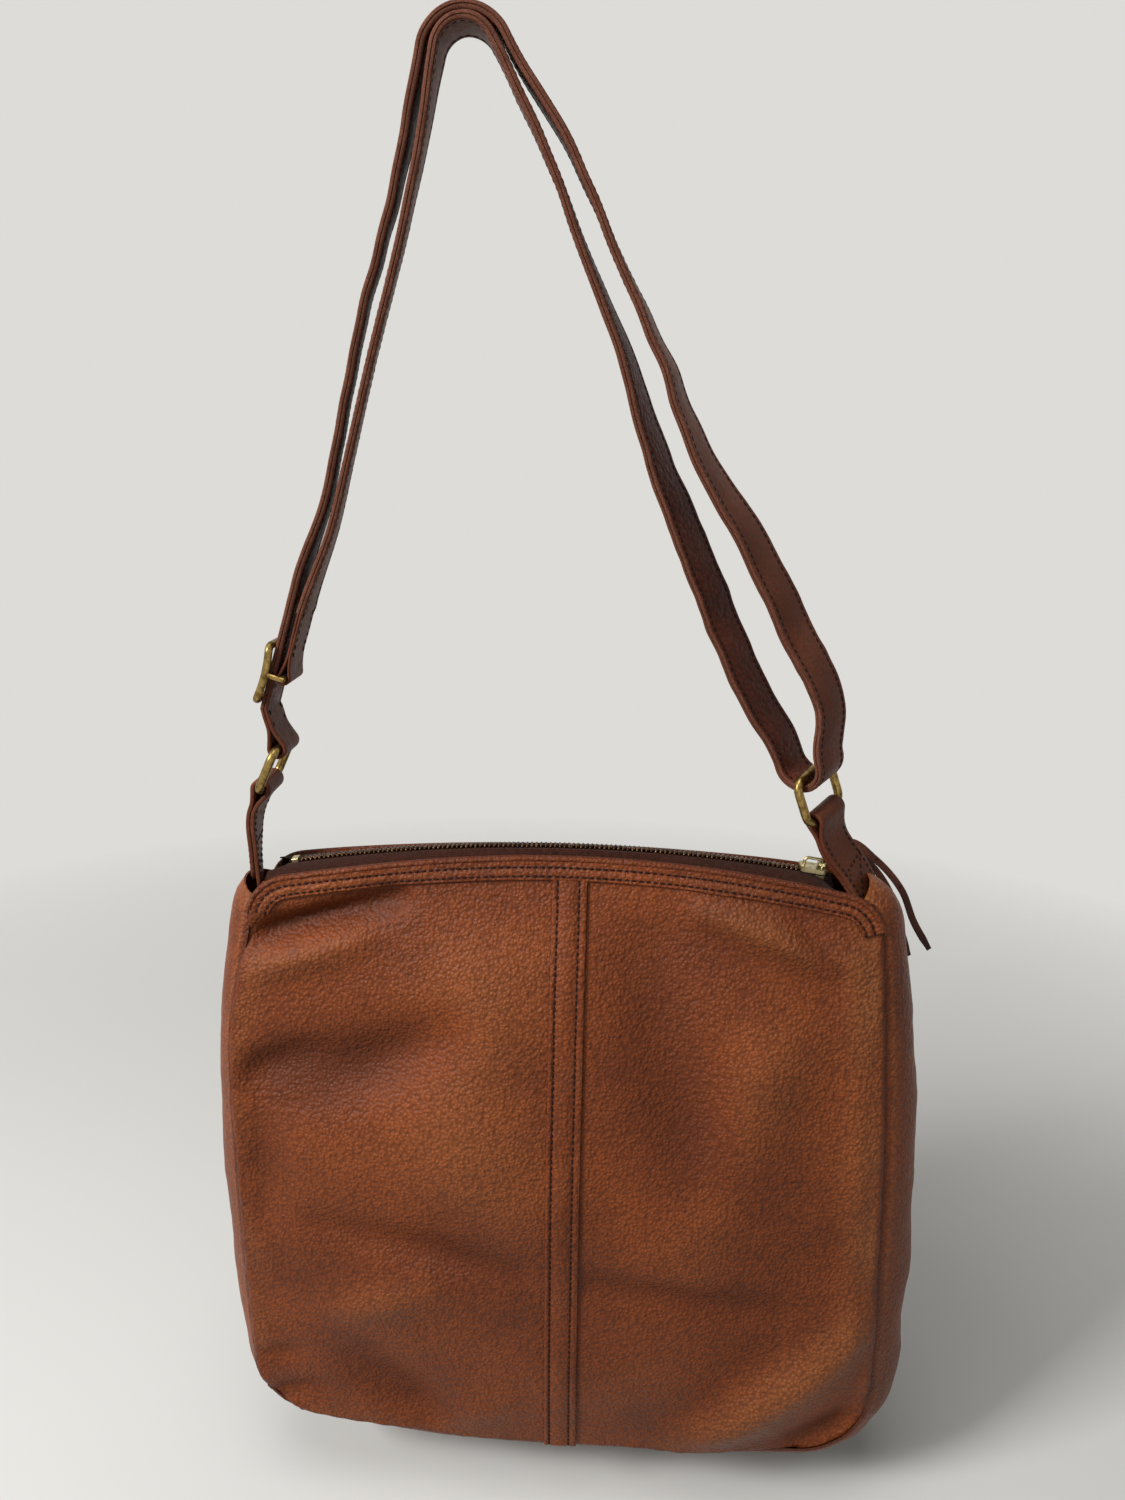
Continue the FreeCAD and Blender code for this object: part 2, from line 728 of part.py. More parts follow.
def wire_ring(pivot, twist):
    """A rectangular ring of round wire with rounded corners, its lower bar on the pivot."""
    across, along, up = hang_frame(pivot, twist)
    half = RING_ROOM / 2 + RING_WIRE
    flat = half - RING_CORNER
    side_low, side_high = RING_CORNER, RING_PITCH - RING_CORNER
    turns = [2 * pi * (step + 0.5) / WIRE_SIDES for step in range(WIRE_SIDES)]
    rounds = [(RING_WIRE * cos(turn), RING_WIRE * sin(turn)) for turn in turns]
    cross = [V(x, -flat, z) for x, z in rounds]
    bar = Part.Face(Part.makePolygon(cross + cross[:1]))
    level = [V(x, half + y, side_low) for x, y in rounds]
    side = Part.Face(Part.makePolygon(level + level[:1])).extrude(V(0, 0, side_high - side_low))
    low_bar = bar.extrude(V(0, 2 * flat, 0))
    bend = bar.revolve(V(0, -flat, side_low), X_AXIS * -1, 90)
    middle = V(0, 0, RING_PITCH / 2)
    pieces = [low_bar, side, bend, bend.mirror(V(0, 0, 0), Y_AXIS)]
    pieces += [piece.mirror(middle, V(0, 0, 1)) for piece in (low_bar, bend, pieces[3])]
    pieces.append(side.mirror(V(0, 0, 0), Y_AXIS))
    return placed(fused(pieces), frame(pivot, across, along, up))


def tab(pivot, twist, side):
    """A doubled leather tab: round the ring's lower bar, down into the end of the bag."""
    across, along, up = hang_frame(pivot, twist)
    tail = TAB_THROAT + 2
    loop = folded_end(RING_WIRE, TAB_PLY, TAB_THROAT, tail, STRAP_WIDTH, RING_FIT)
    loop = placed(loop, frame(pivot, across * -1, along, up * -1))
    neck = pivot - up * tail
    base = V(side * (half_width(-TAB_BEND) - TAB_INSIDE), 0, -TAB_BEND)
    slope = (half_width(-TAB_TAIL) - half_width(-TAB_BEND)) * side
    end = base + V(slope, 0, TAB_BEND - TAB_TAIL)
    middle = (neck + base) * 0.5 + V(side * 1.5, 0, 0)
    stations = [(neck, twist), (middle, twist * 0.95), (base, twist * 0.75), (end, twist * 0.5)]
    body = ribbon(stations, STRAP_WIDTH, 2 * TAB_PLY, first=up)
    return fused([loop, body])


def strap_ribbon(stations, first=None, last=None):
    return ribbon(stations, STRAP_WIDTH, STRAP_THICKNESS, first, last)


def listed(places):
    """Stations of a strap from a list of x, y, z and twist."""
    return [(V(x, y, z), twist) for x, y, z, twist in places]


def bight(radius, top):
    """The strap's bend over the hook, and the centre and direction of its two ends."""
    centre = at(HOOK_X, top - STRAP_THICKNESS / 2 - radius)
    ends = []
    for side, leave in ((-1, LEFT_LEAVE), (1, RIGHT_LEAVE)):
        out = V(side * cos(radians(leave)), 0, sin(radians(leave)))
        run = V(-side * sin(radians(leave)), 0, cos(radians(leave)))
        ends.append((centre + out * radius, run, out))
    outer = radius + STRAP_THICKNESS / 2
    inner = radius - STRAP_THICKNESS / 2
    left, right = ends[0][2], ends[1][2]
    crown = V(0, 0, 1)
    edges = [
        arc(centre + left * outer, centre + crown * outer, centre + right * outer),
        line(centre + right * outer, centre + right * inner),
        arc(centre + right * inner, centre + crown * inner, centre + left * inner),
        line(centre + left * inner, centre + left * outer),
    ]
    solid = slab(edges, -STRAP_WIDTH / 2, STRAP_WIDTH / 2)
    return solid, ends[0], ends[1]


def ring_loop():
    """The strap's round turn in the right ring, and the centres of its two ends."""
    across, along, up = hang_frame(RIGHT_PIVOT, TAB_TWIST)
    bar = RIGHT_PIVOT + up * RING_PITCH
    inner = RING_LOOP - STRAP_THICKNESS / 2
    outer = RING_LOOP + STRAP_THICKNESS / 2
    centre = bar + up * (inner - RING_WIRE - RING_FIT)
    edges = [
        arc(at(-outer, 0), at(0, -outer), at(outer, 0)),
        line(at(outer, 0), at(inner, 0)),
        arc(at(inner, 0), at(0, -inner), at(-inner, 0)),
        line(at(-inner, 0), at(-outer, 0)),
    ]
    turn = slab(edges, -STRAP_WIDTH / 2, STRAP_WIDTH / 2)
    solid = placed(turn, frame(centre, across, along, up))
    return solid, centre - across * RING_LOOP, centre + across * RING_LOOP, up


def adjuster_frame():
    """The adjuster's own frame: x out of the strap's outer face, z up along the strap."""
    tilt = radians(ADJUSTER_TILT)
    up = V(sin(tilt), 0, cos(tilt))
    outward = V(-cos(tilt), 0, sin(tilt))
    return frame(ADJUSTER, outward, up.cross(outward), up)


def adjuster_bar_place():
    """How far behind the strap's middle the adjuster's centre bar lies, negative inwards."""
    return -(STRAP_THICKNESS / 2 + FIT + BAR_PLY + FIT + ADJUSTER_BAR)


def strap():
    """The whole strap but the stretch that the adjuster takes up and its end on the adjuster."""
    gap = LAYER_GAP + 0.2
    inner, inner_left, inner_right = bight(INNER_BIGHT, HOOK_Z + STRAP_THICKNESS)
    outer, outer_left, outer_right = bight(OUTER_BIGHT, HOOK_Z + 2 * STRAP_THICKNESS + gap)
    turn, low_inner, low_outer, up = ring_loop()
    local = adjuster_frame()
    rise = local.Rotation.multVec(V(0, 0, 1))
    high = local.multVec(V(0, 0, ADJUSTER_ROOM_UP))
    low = local.multVec(V(0, 0, -ADJUSTER_ROOM_DOWN))
    bar = LEFT_PIVOT + lean_to(LEFT_PIVOT) * RING_PITCH
    reach = (low - bar).Length
    end_up = (low - bar).normalize()
    ply = STRAP_THICKNESS / 2
    tail = reach - STRAP_THICKNESS
    end = folded_end(RING_WIRE, ply, STRAP_THROAT, tail, STRAP_WIDTH, RING_FIT)
    end = placed(end, frame(bar, Y_AXIS.cross(end_up), Y_AXIS, end_up))
    cut = listed([LEFT_INNER_CUT])
    runs = [
        strap_ribbon(
            [(outer_left[0], 0)] + listed(LEFT_OUTER[::-1]) + [(high, 0)], outer_left[1], rise
        ),
        strap_ribbon([(high, 0), (low, 0)], rise, rise),
        strap_ribbon([(low, 0), (bar + end_up * tail, 0)], rise, end_up),
        strap_ribbon([(inner_left[0], 0)] + listed(LEFT_INNER_TOP) + cut, inner_left[1]),
        strap_ribbon(
            [(inner_right[0], 0)] + listed(RIGHT_INNER) + [(low_inner, TAB_TWIST)], inner_right[1], up
        ),
        strap_ribbon(
            [(outer_right[0], 0)] + listed(RIGHT_OUTER) + [(low_outer, TAB_TWIST)], outer_right[1], up
        ),
    ]
    pieces = [outer, runs[0], runs[1], runs[2], end, runs[5], turn, runs[4], inner, runs[3]]
    return fused(pieces)


def bar_loop():
    """The strap's other end, folded round the adjuster's centre bar and sewn to itself."""
    loop = folded_end(ADJUSTER_BAR, BAR_PLY, BAR_THROAT, BAR_TAIL, STRAP_WIDTH)
    loop.translate(V(adjuster_bar_place(), 0, 0))
    return placed(loop, adjuster_frame())


def slack_run():
    """The stretch of strap between the fixed strap and the end on the adjuster."""
    local = adjuster_frame()
    rise = local.Rotation.multVec(V(0, 0, 1))
    low = local.multVec(V(adjuster_bar_place(), 0, BAR_TAIL + FIT))
    cut = listed([LEFT_INNER_CUT])[0]
    before = V(*LEFT_INNER_TOP[-1][:3])
    fall = (before - V(*LEFT_SLACK[0][:3])).normalize()
    top = cut[0] - fall * FIT
    return strap_ribbon([(top, 0)] + listed(LEFT_SLACK) + [(low, 0)], fall, rise)


def adjuster():
    """Cast slide: two outer rails, bowed sides, and a centre bar on lugs behind the strap."""
    rail = STRAP_THICKNESS / 2 + FIT + ADJUSTER_WIRE
    inside = STRAP_WIDTH / 2 + 2 * FIT
    half_z = ADJUSTER_HEIGHT / 2
    bar_x = adjuster_bar_place()
    wire = ADJUSTER_WIRE
    lug = ADJUSTER_BAR + 0.6
    bowed = [
        arc(at(rail + wire, -half_z), at(rail + wire - ADJUSTER_BOW, 0), at(rail + wire, half_z)),
        line(at(rail + wire, half_z), at(rail - wire, half_z)),
        arc(at(rail - wire, half_z), at(rail - wire - ADJUSTER_BOW, 0), at(rail - wire, -half_z)),
        line(at(rail - wire, -half_z), at(rail + wire, -half_z)),
    ]
    outer = inside + ADJUSTER_LUG
    parts = [rod(V(rail, -outer, z), V(rail, outer, z), wire) for z in (-half_z, half_z)]
    for low_y, high_y in ((-outer, -inside), (inside, outer)):
        parts.append(slab(bowed, low_y, high_y))
        parts.append(block(V(bar_x, low_y, -lug), V(rail - ADJUSTER_BOW, high_y, lug)))
        parts.append(rod(V(bar_x, low_y, 0), V(bar_x, high_y, 0), lug))
    parts.append(rod(V(bar_x, -inside, 0), V(bar_x, inside, 0), ADJUSTER_BAR))
    return placed(fused(parts), adjuster_frame())


# ---------------------------------------------------------------- the assembly


def zip_parts():
    """Tapes, teeth, stops, slider and pull."""
    stop_half = CHAIN_HALF - LAYER_GAP
    return {
        "zip_tape_front": zip_tape(FRONT),
        "zip_tape_back": zip_tape(BACK),
        "zip_teeth_front": zip_teeth(FRONT),
        "zip_teeth_back": zip_teeth(BACK),
        "zip_bottom_stop": zip_stop(-TEETH_LEFT - STOP_LENGTH, stop_half),
        "zip_slider": zip_slider(),
        "zip_puller": zip_puller(),
        "zip_pull_thongs": thongs(),
    }


def strap_parts():
    """Strap, adjuster, rings and the tabs that carry the bag."""
    return {
        "strap": strap(),
        "strap_slack_run": slack_run(),
        "strap_end_on_adjuster": bar_loop(),
        "strap_adjuster": adjuster(),
        "ring_left": wire_ring(LEFT_PIVOT, 0),
        "ring_right": wire_ring(RIGHT_PIVOT, TAB_TWIST),
        "tab_left": tab(LEFT_PIVOT, 0, -1),
        "tab_right": tab(RIGHT_PIVOT, TAB_TWIST, 1),
    }


def main():
    os.makedirs("parts", exist_ok=True)
    parts = {**leather_body(), **lining(), **zip_parts(), **strap_parts()}
    hook = V(-HOOK_X, 0, -HOOK_Z)
    for name, shape in parts.items():
        moved = shape.copy()
        moved.translate(hook)
        moved.exportStep("parts/" + name + ".step")
        box = moved.BoundBox
        print(
            f"{name:24s} solids {len(moved.Solids)} valid {moved.isValid()} volume {moved.Volume:10.1f} "
            f"x {box.XMin:7.1f} {box.XMax:7.1f} y {box.YMin:6.1f} {box.YMax:6.1f} "
            f"z {box.ZMin:7.1f} {box.ZMax:7.1f}"
        )


main()
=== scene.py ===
"""Soft leather crossbody bag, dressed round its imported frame.

Sizes are in millimetres in the bag's own frame: x to the bag's right-hand end seen from the front,
y to the back, z up, z = 0 at the top of the closed zip in the middle. to_row turns them into metres
in the shared frame, whose origin is the point that hangs on the hook.
"""

import logging
from dataclasses import dataclass, field
from enum import Enum
from math import acos, asin, atan2, cos, hypot, pi, radians, sin, sqrt, tan
from typing import Dict, List, Optional, Sequence, Tuple

import bmesh
import bpy
import numpy as np
from bpy.types import Material, Mesh, Node, NodeSocket, NodeTree, Object
from mathutils import Matrix, Vector

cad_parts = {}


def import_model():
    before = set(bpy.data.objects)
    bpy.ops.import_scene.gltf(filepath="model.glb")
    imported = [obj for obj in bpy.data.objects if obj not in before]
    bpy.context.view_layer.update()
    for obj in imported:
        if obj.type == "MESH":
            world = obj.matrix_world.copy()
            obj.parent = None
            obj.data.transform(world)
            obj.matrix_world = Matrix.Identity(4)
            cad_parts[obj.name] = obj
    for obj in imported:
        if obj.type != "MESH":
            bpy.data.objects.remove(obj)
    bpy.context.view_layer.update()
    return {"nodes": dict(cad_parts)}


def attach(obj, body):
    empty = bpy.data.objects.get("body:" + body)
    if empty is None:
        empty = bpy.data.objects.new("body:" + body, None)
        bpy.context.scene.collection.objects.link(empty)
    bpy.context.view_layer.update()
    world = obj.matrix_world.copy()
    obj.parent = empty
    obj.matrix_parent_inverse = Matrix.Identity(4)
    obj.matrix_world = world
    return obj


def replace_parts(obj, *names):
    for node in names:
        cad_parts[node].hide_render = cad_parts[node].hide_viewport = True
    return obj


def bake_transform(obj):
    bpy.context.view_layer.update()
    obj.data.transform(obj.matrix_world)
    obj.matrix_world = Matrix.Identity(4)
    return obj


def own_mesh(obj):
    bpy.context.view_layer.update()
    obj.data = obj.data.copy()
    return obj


LOG = logging.getLogger("bag")
HOOK = np.array([44.0, 0.0, -324.0])
Y_AXIS = np.array([0.0, 1.0, 0.0])
Array = np.ndarray
Skin = Tuple[Array, List[Tuple[int, ...]]]
Route = Tuple[Tuple[float, ...], ...]


class Side(Enum):
    """Which face of the bag a piece is on."""

    FRONT = -1
    BACK = 1


class Half(Enum):
    """Which half of the bag's length a piece is on."""

    LEFT = -1
    RIGHT = 1


# ------------------ small tools


def to_row(points: Array) -> Array:
    """Bag millimetres as metres in the shared frame."""
    return (np.asarray(points, float) + HOOK) * 0.001


def unit(vectors: Array) -> Array:
    """Each vector with a length of 1."""
    vectors = np.asarray(vectors, float)
    return vectors / np.maximum(np.linalg.norm(vectors, axis=-1, keepdims=True), 1e-12)


def linear(code: str) -> Tuple[float, float, float, float]:
    """An sRGB hex colour as linear red, green, blue and alpha."""
    parts = [int(code[i : i + 2], 16) / 255 for i in (1, 3, 5)]
    tones = [p / 12.92 if p <= 0.04045 else ((p + 0.055) / 1.055) ** 2.4 for p in parts]
    return (*tones, 1.0)


def smooth(value: Array, low: float, high: float) -> Array:
    """0 below low, 1 above high, and a smooth step between them."""
    share = np.clip((np.asarray(value, float) - low) / (high - low), 0, 1)
    return share * share * (3 - 2 * share)


def ripple(points: Array, size: float, seed: int, waves: int = 14) -> Array:
    """A smooth random field from -1 to 1 whose lumps are about size across."""
    source = np.random.RandomState(seed)
    turns = unit(source.normal(size=(waves, points.shape[1])))
    scale = 2 * pi / (size * source.uniform(1.4, 2.6, waves))
    phase = source.uniform(0, 2 * pi, waves)
    total = np.cos(points @ (turns * scale[:, None]).T + phase).sum(axis=1)
    return total / sqrt(waves / 2) * 0.5


def along_path(path: Array) -> Array:
    """Distance along a path to each of its points."""
    steps = np.linalg.norm(np.diff(path, axis=0), axis=1)
    return np.concatenate([[0.0], np.cumsum(steps)])


def resample(path: Array, shares: Array) -> Array:
    """Points at shares, from 0 to 1, of a path's length."""
    length = along_path(path)
    places = np.asarray(shares) * length[-1]
    return np.stack([np.interp(places, length, path[:, k]) for k in range(path.shape[1])], axis=1)


def spaced(path: Array, step: float) -> Array:
    """A path's points again, about step apart."""
    count = max(2, int(round(along_path(path)[-1] / step)) + 1)
    return resample(path, np.linspace(0, 1, count))


def arc_through(start: Sequence[float], middle: Sequence[float], end: Sequence[float], count: int) -> Array:
    """Points on the circle through three places in a plane."""
    (ax, az), (bx, bz), (cx, cz) = start, middle, end
    d = 2 * (ax * (bz - cz) + bx * (cz - az) + cx * (az - bz))
    sa, sb, sc = ax * ax + az * az, bx * bx + bz * bz, cx * cx + cz * cz
    ox = (sa * (bz - cz) + sb * (cz - az) + sc * (az - bz)) / d
    oz = (sa * (cx - bx) + sb * (ax - cx) + sc * (bx - ax)) / d
    radius = hypot(ax - ox, az - oz)
    angles = np.unwrap([atan2(z - oz, x - ox) for x, z in (start, middle, end)])
    sweep = np.linspace(angles[0], angles[2], count)
    return np.stack([ox + radius * np.cos(sweep), oz + radius * np.sin(sweep)], axis=1)


def rounded_corner(first: Array, second: Array, radius: float) -> Tuple[Array, Array, Array]:
    """Two dense paths that meet, cut back, and the round between them."""
    out_a = unit(first[-1] - first[-6])
    out_b = unit(second[5] - second[0])
    turn = acos(float(np.clip(out_a @ out_b, -1, 1)))
    reach = radius * tan(turn / 2)
    length_a, length_b = along_path(first), along_path(second)
    kept_a = first[length_a <= length_a[-1] - reach]
    kept_b = second[length_b >= reach]
    handle = 4 / 3 * tan(turn / 4) * radius
    p0, p3 = kept_a[-1], kept_b[0]
    p1 = p0 + unit(kept_a[-1] - kept_a[-4]) * handle
    p2 = p3 - unit(kept_b[3] - kept_b[0]) * handle
    t = np.linspace(0, 1, 41)[:, None]
    bend = (1 - t) ** 3 * p0 + 3 * (1 - t) ** 2 * t * p1 + 3 * (1 - t) * t * t * p2 + t**3 * p3
    return kept_a, bend, kept_b


def spline(
    points: Array, first: Optional[Array] = None, last: Optional[Array] = None, step: float = 2.0
) -> Array:
    """A smooth path through points, about step apart, with the run's direction set at its ends."""
    points = np.asarray(points, float)
    gaps = np.linalg.norm(np.diff(points[:, :3], axis=0), axis=1)
    knots = np.concatenate([[0.0], np.cumsum(gaps)])
    slopes = np.gradient(points, knots, axis=0)
    if first is not None:
        slopes[0, :3] = unit(first)
    if last is not None:
        slopes[-1, :3] = unit(last)
    found = []
    for k, gap in enumerate(gaps):
        count = max(2, int(gap / step) + 1)
        t = np.linspace(0, 1, count, endpoint=k == len(gaps) - 1)[:, None]
        a, b = points[k], points[k + 1]
        m, n = slopes[k] * gap, slopes[k + 1] * gap
        h = 2 * t**3 - 3 * t**2
        found.append((1 + h) * a - h * b + (t**3 - 2 * t**2 + t) * m + (t**3 - t**2) * n)
    return np.concatenate(found)


def placed(name: str, data: object) -> Object:
    """A new object in the scene."""
    thing = bpy.data.objects.new(name, data)
    bpy.context.scene.collection.objects.link(thing)
    return thing


def make_piece(
    name: str,
    points: Array,
    faces: Sequence[Sequence[int]],
    materials: Sequence[Material],
    slots: Optional[Sequence[int]] = None,
    crisp: float = 42.0,
    tone: Optional[Array] = None,
    fabric: Optional[Array] = None,
) -> Object:
    """A closed mesh object from bag millimetres.

    Args:
        name: The piece's name.
        points: Its corners in the bag's frame.
        faces: Corner numbers of each face.
        materials: The finishes it uses.
        slots: Which finish each face has.
        crisp: Edges that bend more than this many degrees stay sharp.
        tone: How much lighter or darker than its leather each corner is.
        fabric: Two places on the cloth, in millimetres, for each corner.

    Returns:
        The object, linked to the scene.
    """
    mesh = bpy.data.meshes.new(name)
    mesh.from_pydata(to_row(points).tolist(), [], [list(map(int, face)) for face in faces])
    for material in materials:
        mesh.materials.append(material)
    if slots is not None:
        mesh.polygons.foreach_set("material_index", np.asarray(slots, np.int32))
    if tone is not None:
        mesh.attributes.new("tone", "FLOAT", "POINT").data.foreach_set("value", np.asarray(tone, np.float32))
    if fabric is not None:
        layer = mesh.uv_layers.new(name="cloth")
        corners = np.zeros(len(mesh.loops), np.int32)
        mesh.loops.foreach_get("vertex_index", corners)
        layer.data.foreach_set("uv", (np.asarray(fabric, np.float32)[corners] * 0.001).ravel())
    work = bmesh.new()
    work.from_mesh(mesh)
    bmesh.ops.recalc_face_normals(work, faces=work.faces)
    work.to_mesh(mesh)
    work.free()
    mesh.polygons.foreach_set("use_smooth", np.ones(len(mesh.polygons), bool))
    mesh.set_sharp_from_angle(angle=radians(crisp))
    mesh.update()
    return placed(name, mesh)


def grid_faces(rows: int, columns: int, start: int = 0) -> List[Tuple[int, int, int, int]]:
    """Four-cornered faces of a grid whose corners are numbered row by row."""
    found = []
    for i in range(rows - 1):
        for j in range(columns - 1):
            k = start + i * columns + j
            found.append((k, k + 1, k + columns + 1, k + columns))
    return found


def grid_normals(grid: Array) -> Array:
    """Unit normals of a grid of points."""
    return unit(np.cross(np.gradient(grid, axis=0), np.gradient(grid, axis=1)))


def walled(outer: Array, inner: Array) -> Skin:
    """Points and faces of the closed shell between two grids of the same size."""
    rows, columns = outer.shape[:2]
    count = rows * columns
    points = np.concatenate([outer.reshape(-1, 3), inner.reshape(-1, 3)])
    faces: List[Tuple[int, ...]] = list(grid_faces(rows, columns))
    faces += [face[::-1] for face in grid_faces(rows, columns, count)]
    rim = list(range(columns))
    rim += [i * columns + columns - 1 for i in range(1, rows)]
    rim += [(rows - 1) * columns + j for j in range(columns - 2, -1, -1)]
    rim += [i * columns for i in range(rows - 2, 0, -1)]
    for a, b in zip(rim, rim[1:] + rim[:1]):
        faces.append((a, b, b + count, a + count))
    return points, faces


def tube(rings: Array, closed: bool = False) -> Skin:
    """Points and faces of a skin over rings of the same size, capped unless its path is closed."""
    count, size = rings.shape[:2]
    faces: List[Tuple[int, ...]] = []
    for i in range(count if closed else count - 1):
        a, b = i * size, ((i + 1) % count) * size
        for j in range(size):
            k = (j + 1) % size
            faces.append((a + j, a + k, b + k, b + j))
    if not closed:
        faces.append(tuple(range(size))[::-1])
        faces.append(tuple((count - 1) * size + j for j in range(size)))
    return rings.reshape(-1, 3), faces


# ------------------ node trees


def preset(node: Node, values: Dict[object, object]) -> None:
    """Sets constants on a node's inputs."""
    for key, value in values.items():
        node.inputs[key].default_value = value


def add_node(
    tree: NodeTree,
    kind: str,
    settings: Optional[Dict[str, object]] = None,
    values: Optional[Dict[object, object]] = None,
    links: Optional[Dict[object, NodeSocket]] = None,
) -> Node:
    """Adds one node.

    Args:
        tree: The material or geometry tree.
        kind: The type name of the node.
        settings: Properties of the node.
        values: Constants on its inputs, by name or number.
        links: Outputs of other nodes that feed its inputs.

    Returns:
        The new node.
    """
    node = tree.nodes.new(kind)
    for key, value in (settings or {}).items():
        setattr(node, key, value)
    preset(node, values or {})
    for key, socket in (links or {}).items():
        tree.links.new(socket, node.inputs[key])
    return node


def blank_tree(owner: object) -> NodeTree:
    """The emptied node tree of a material or world."""
    owner.use_nodes = True
    owner.node_tree.nodes.clear()
    return owner.node_tree


def blank_material(name: str) -> Tuple[Material, NodeTree, Node]:
    """A new material, its tree and its shader."""
    material = bpy.data.materials.new(name)
    tree = blank_tree(material)
    shader = add_node(tree, "ShaderNodeBsdfPrincipled")
    add_node(tree, "ShaderNodeOutputMaterial", links={"Surface": shader.outputs["BSDF"]})
    return material, tree, shader


def millimetres(tree: NodeTree, stretch: Tuple[float, float, float] = (1, 1, 1)) -> NodeSocket:
    """Object coordinates counted in millimetres."""
    place = add_node(tree, "ShaderNodeTexCoord")
    scale = tuple(1000.0 * value for value in stretch)
    mapping = add_node(
        tree, "ShaderNodeMapping", values={"Scale": scale}, links={"Vector": place.outputs["Object"]}
    )
    return mapping.outputs["Vector"]


def mixed(tree: NodeTree, share: NodeSocket, first: object, second: object) -> NodeSocket:
    """A colour between two colours or sockets."""
    node = add_node(tree, "ShaderNodeMix", {"data_type": "RGBA"}, links={0: share})
    for number, value in ((6, first), (7, second)):
        if isinstance(value, NodeSocket):
            tree.links.new(value, node.inputs[number])
        else:
            node.inputs[number].default_value = value
    return node.outputs[2]


def dyed(tree: NodeTree, shader: Node, share: NodeSocket, low: str, high: str) -> None:
    """Colours a shader between two hex colours."""
    tree.links.new(mixed(tree, share, linear(low), linear(high)), shader.inputs["Base Color"])


def ranged(
    tree: NodeTree, value: NodeSocket, low: float, high: float, new_low: float, new_high: float
) -> NodeSocket:
    """A value carried from one range to another and held inside it."""
    node = add_node(
        tree,
        "ShaderNodeMapRange",
        values={"From Min": low, "From Max": high, "To Min": new_low, "To Max": new_high},
        links={"Value": value},
    )
    return node.outputs["Result"]


def noise(
    tree: NodeTree, place: NodeSocket, scale: float, detail: float = 2.0, rough: float = 0.5
) -> NodeSocket:
    """Strength of a soft noise."""
    values = {"Scale": scale, "Detail": detail, "Roughness": rough}
    return add_node(tree, "ShaderNodeTexNoise", values=values, links={"Vector": place}).outputs["Fac"]


def added(tree: NodeTree, value: NodeSocket, share: float, base: NodeSocket) -> NodeSocket:
    """A share of a value on top of another."""
    settings = {"operation": "MULTIPLY_ADD"}
    return add_node(tree, "ShaderNodeMath", settings, {1: share}, {0: value, 2: base}).outputs[0]


def relieved(tree: NodeTree, shader: Node, height: NodeSocket, strength: float, distance: float) -> None:
    """Gives a shader fine relief, distance being in metres."""
    values = {"Strength": strength, "Distance": distance}
    bump = add_node(tree, "ShaderNodeBump", values=values, links={"Height": height})
    tree.links.new(bump.outputs["Normal"], shader.inputs["Normal"])


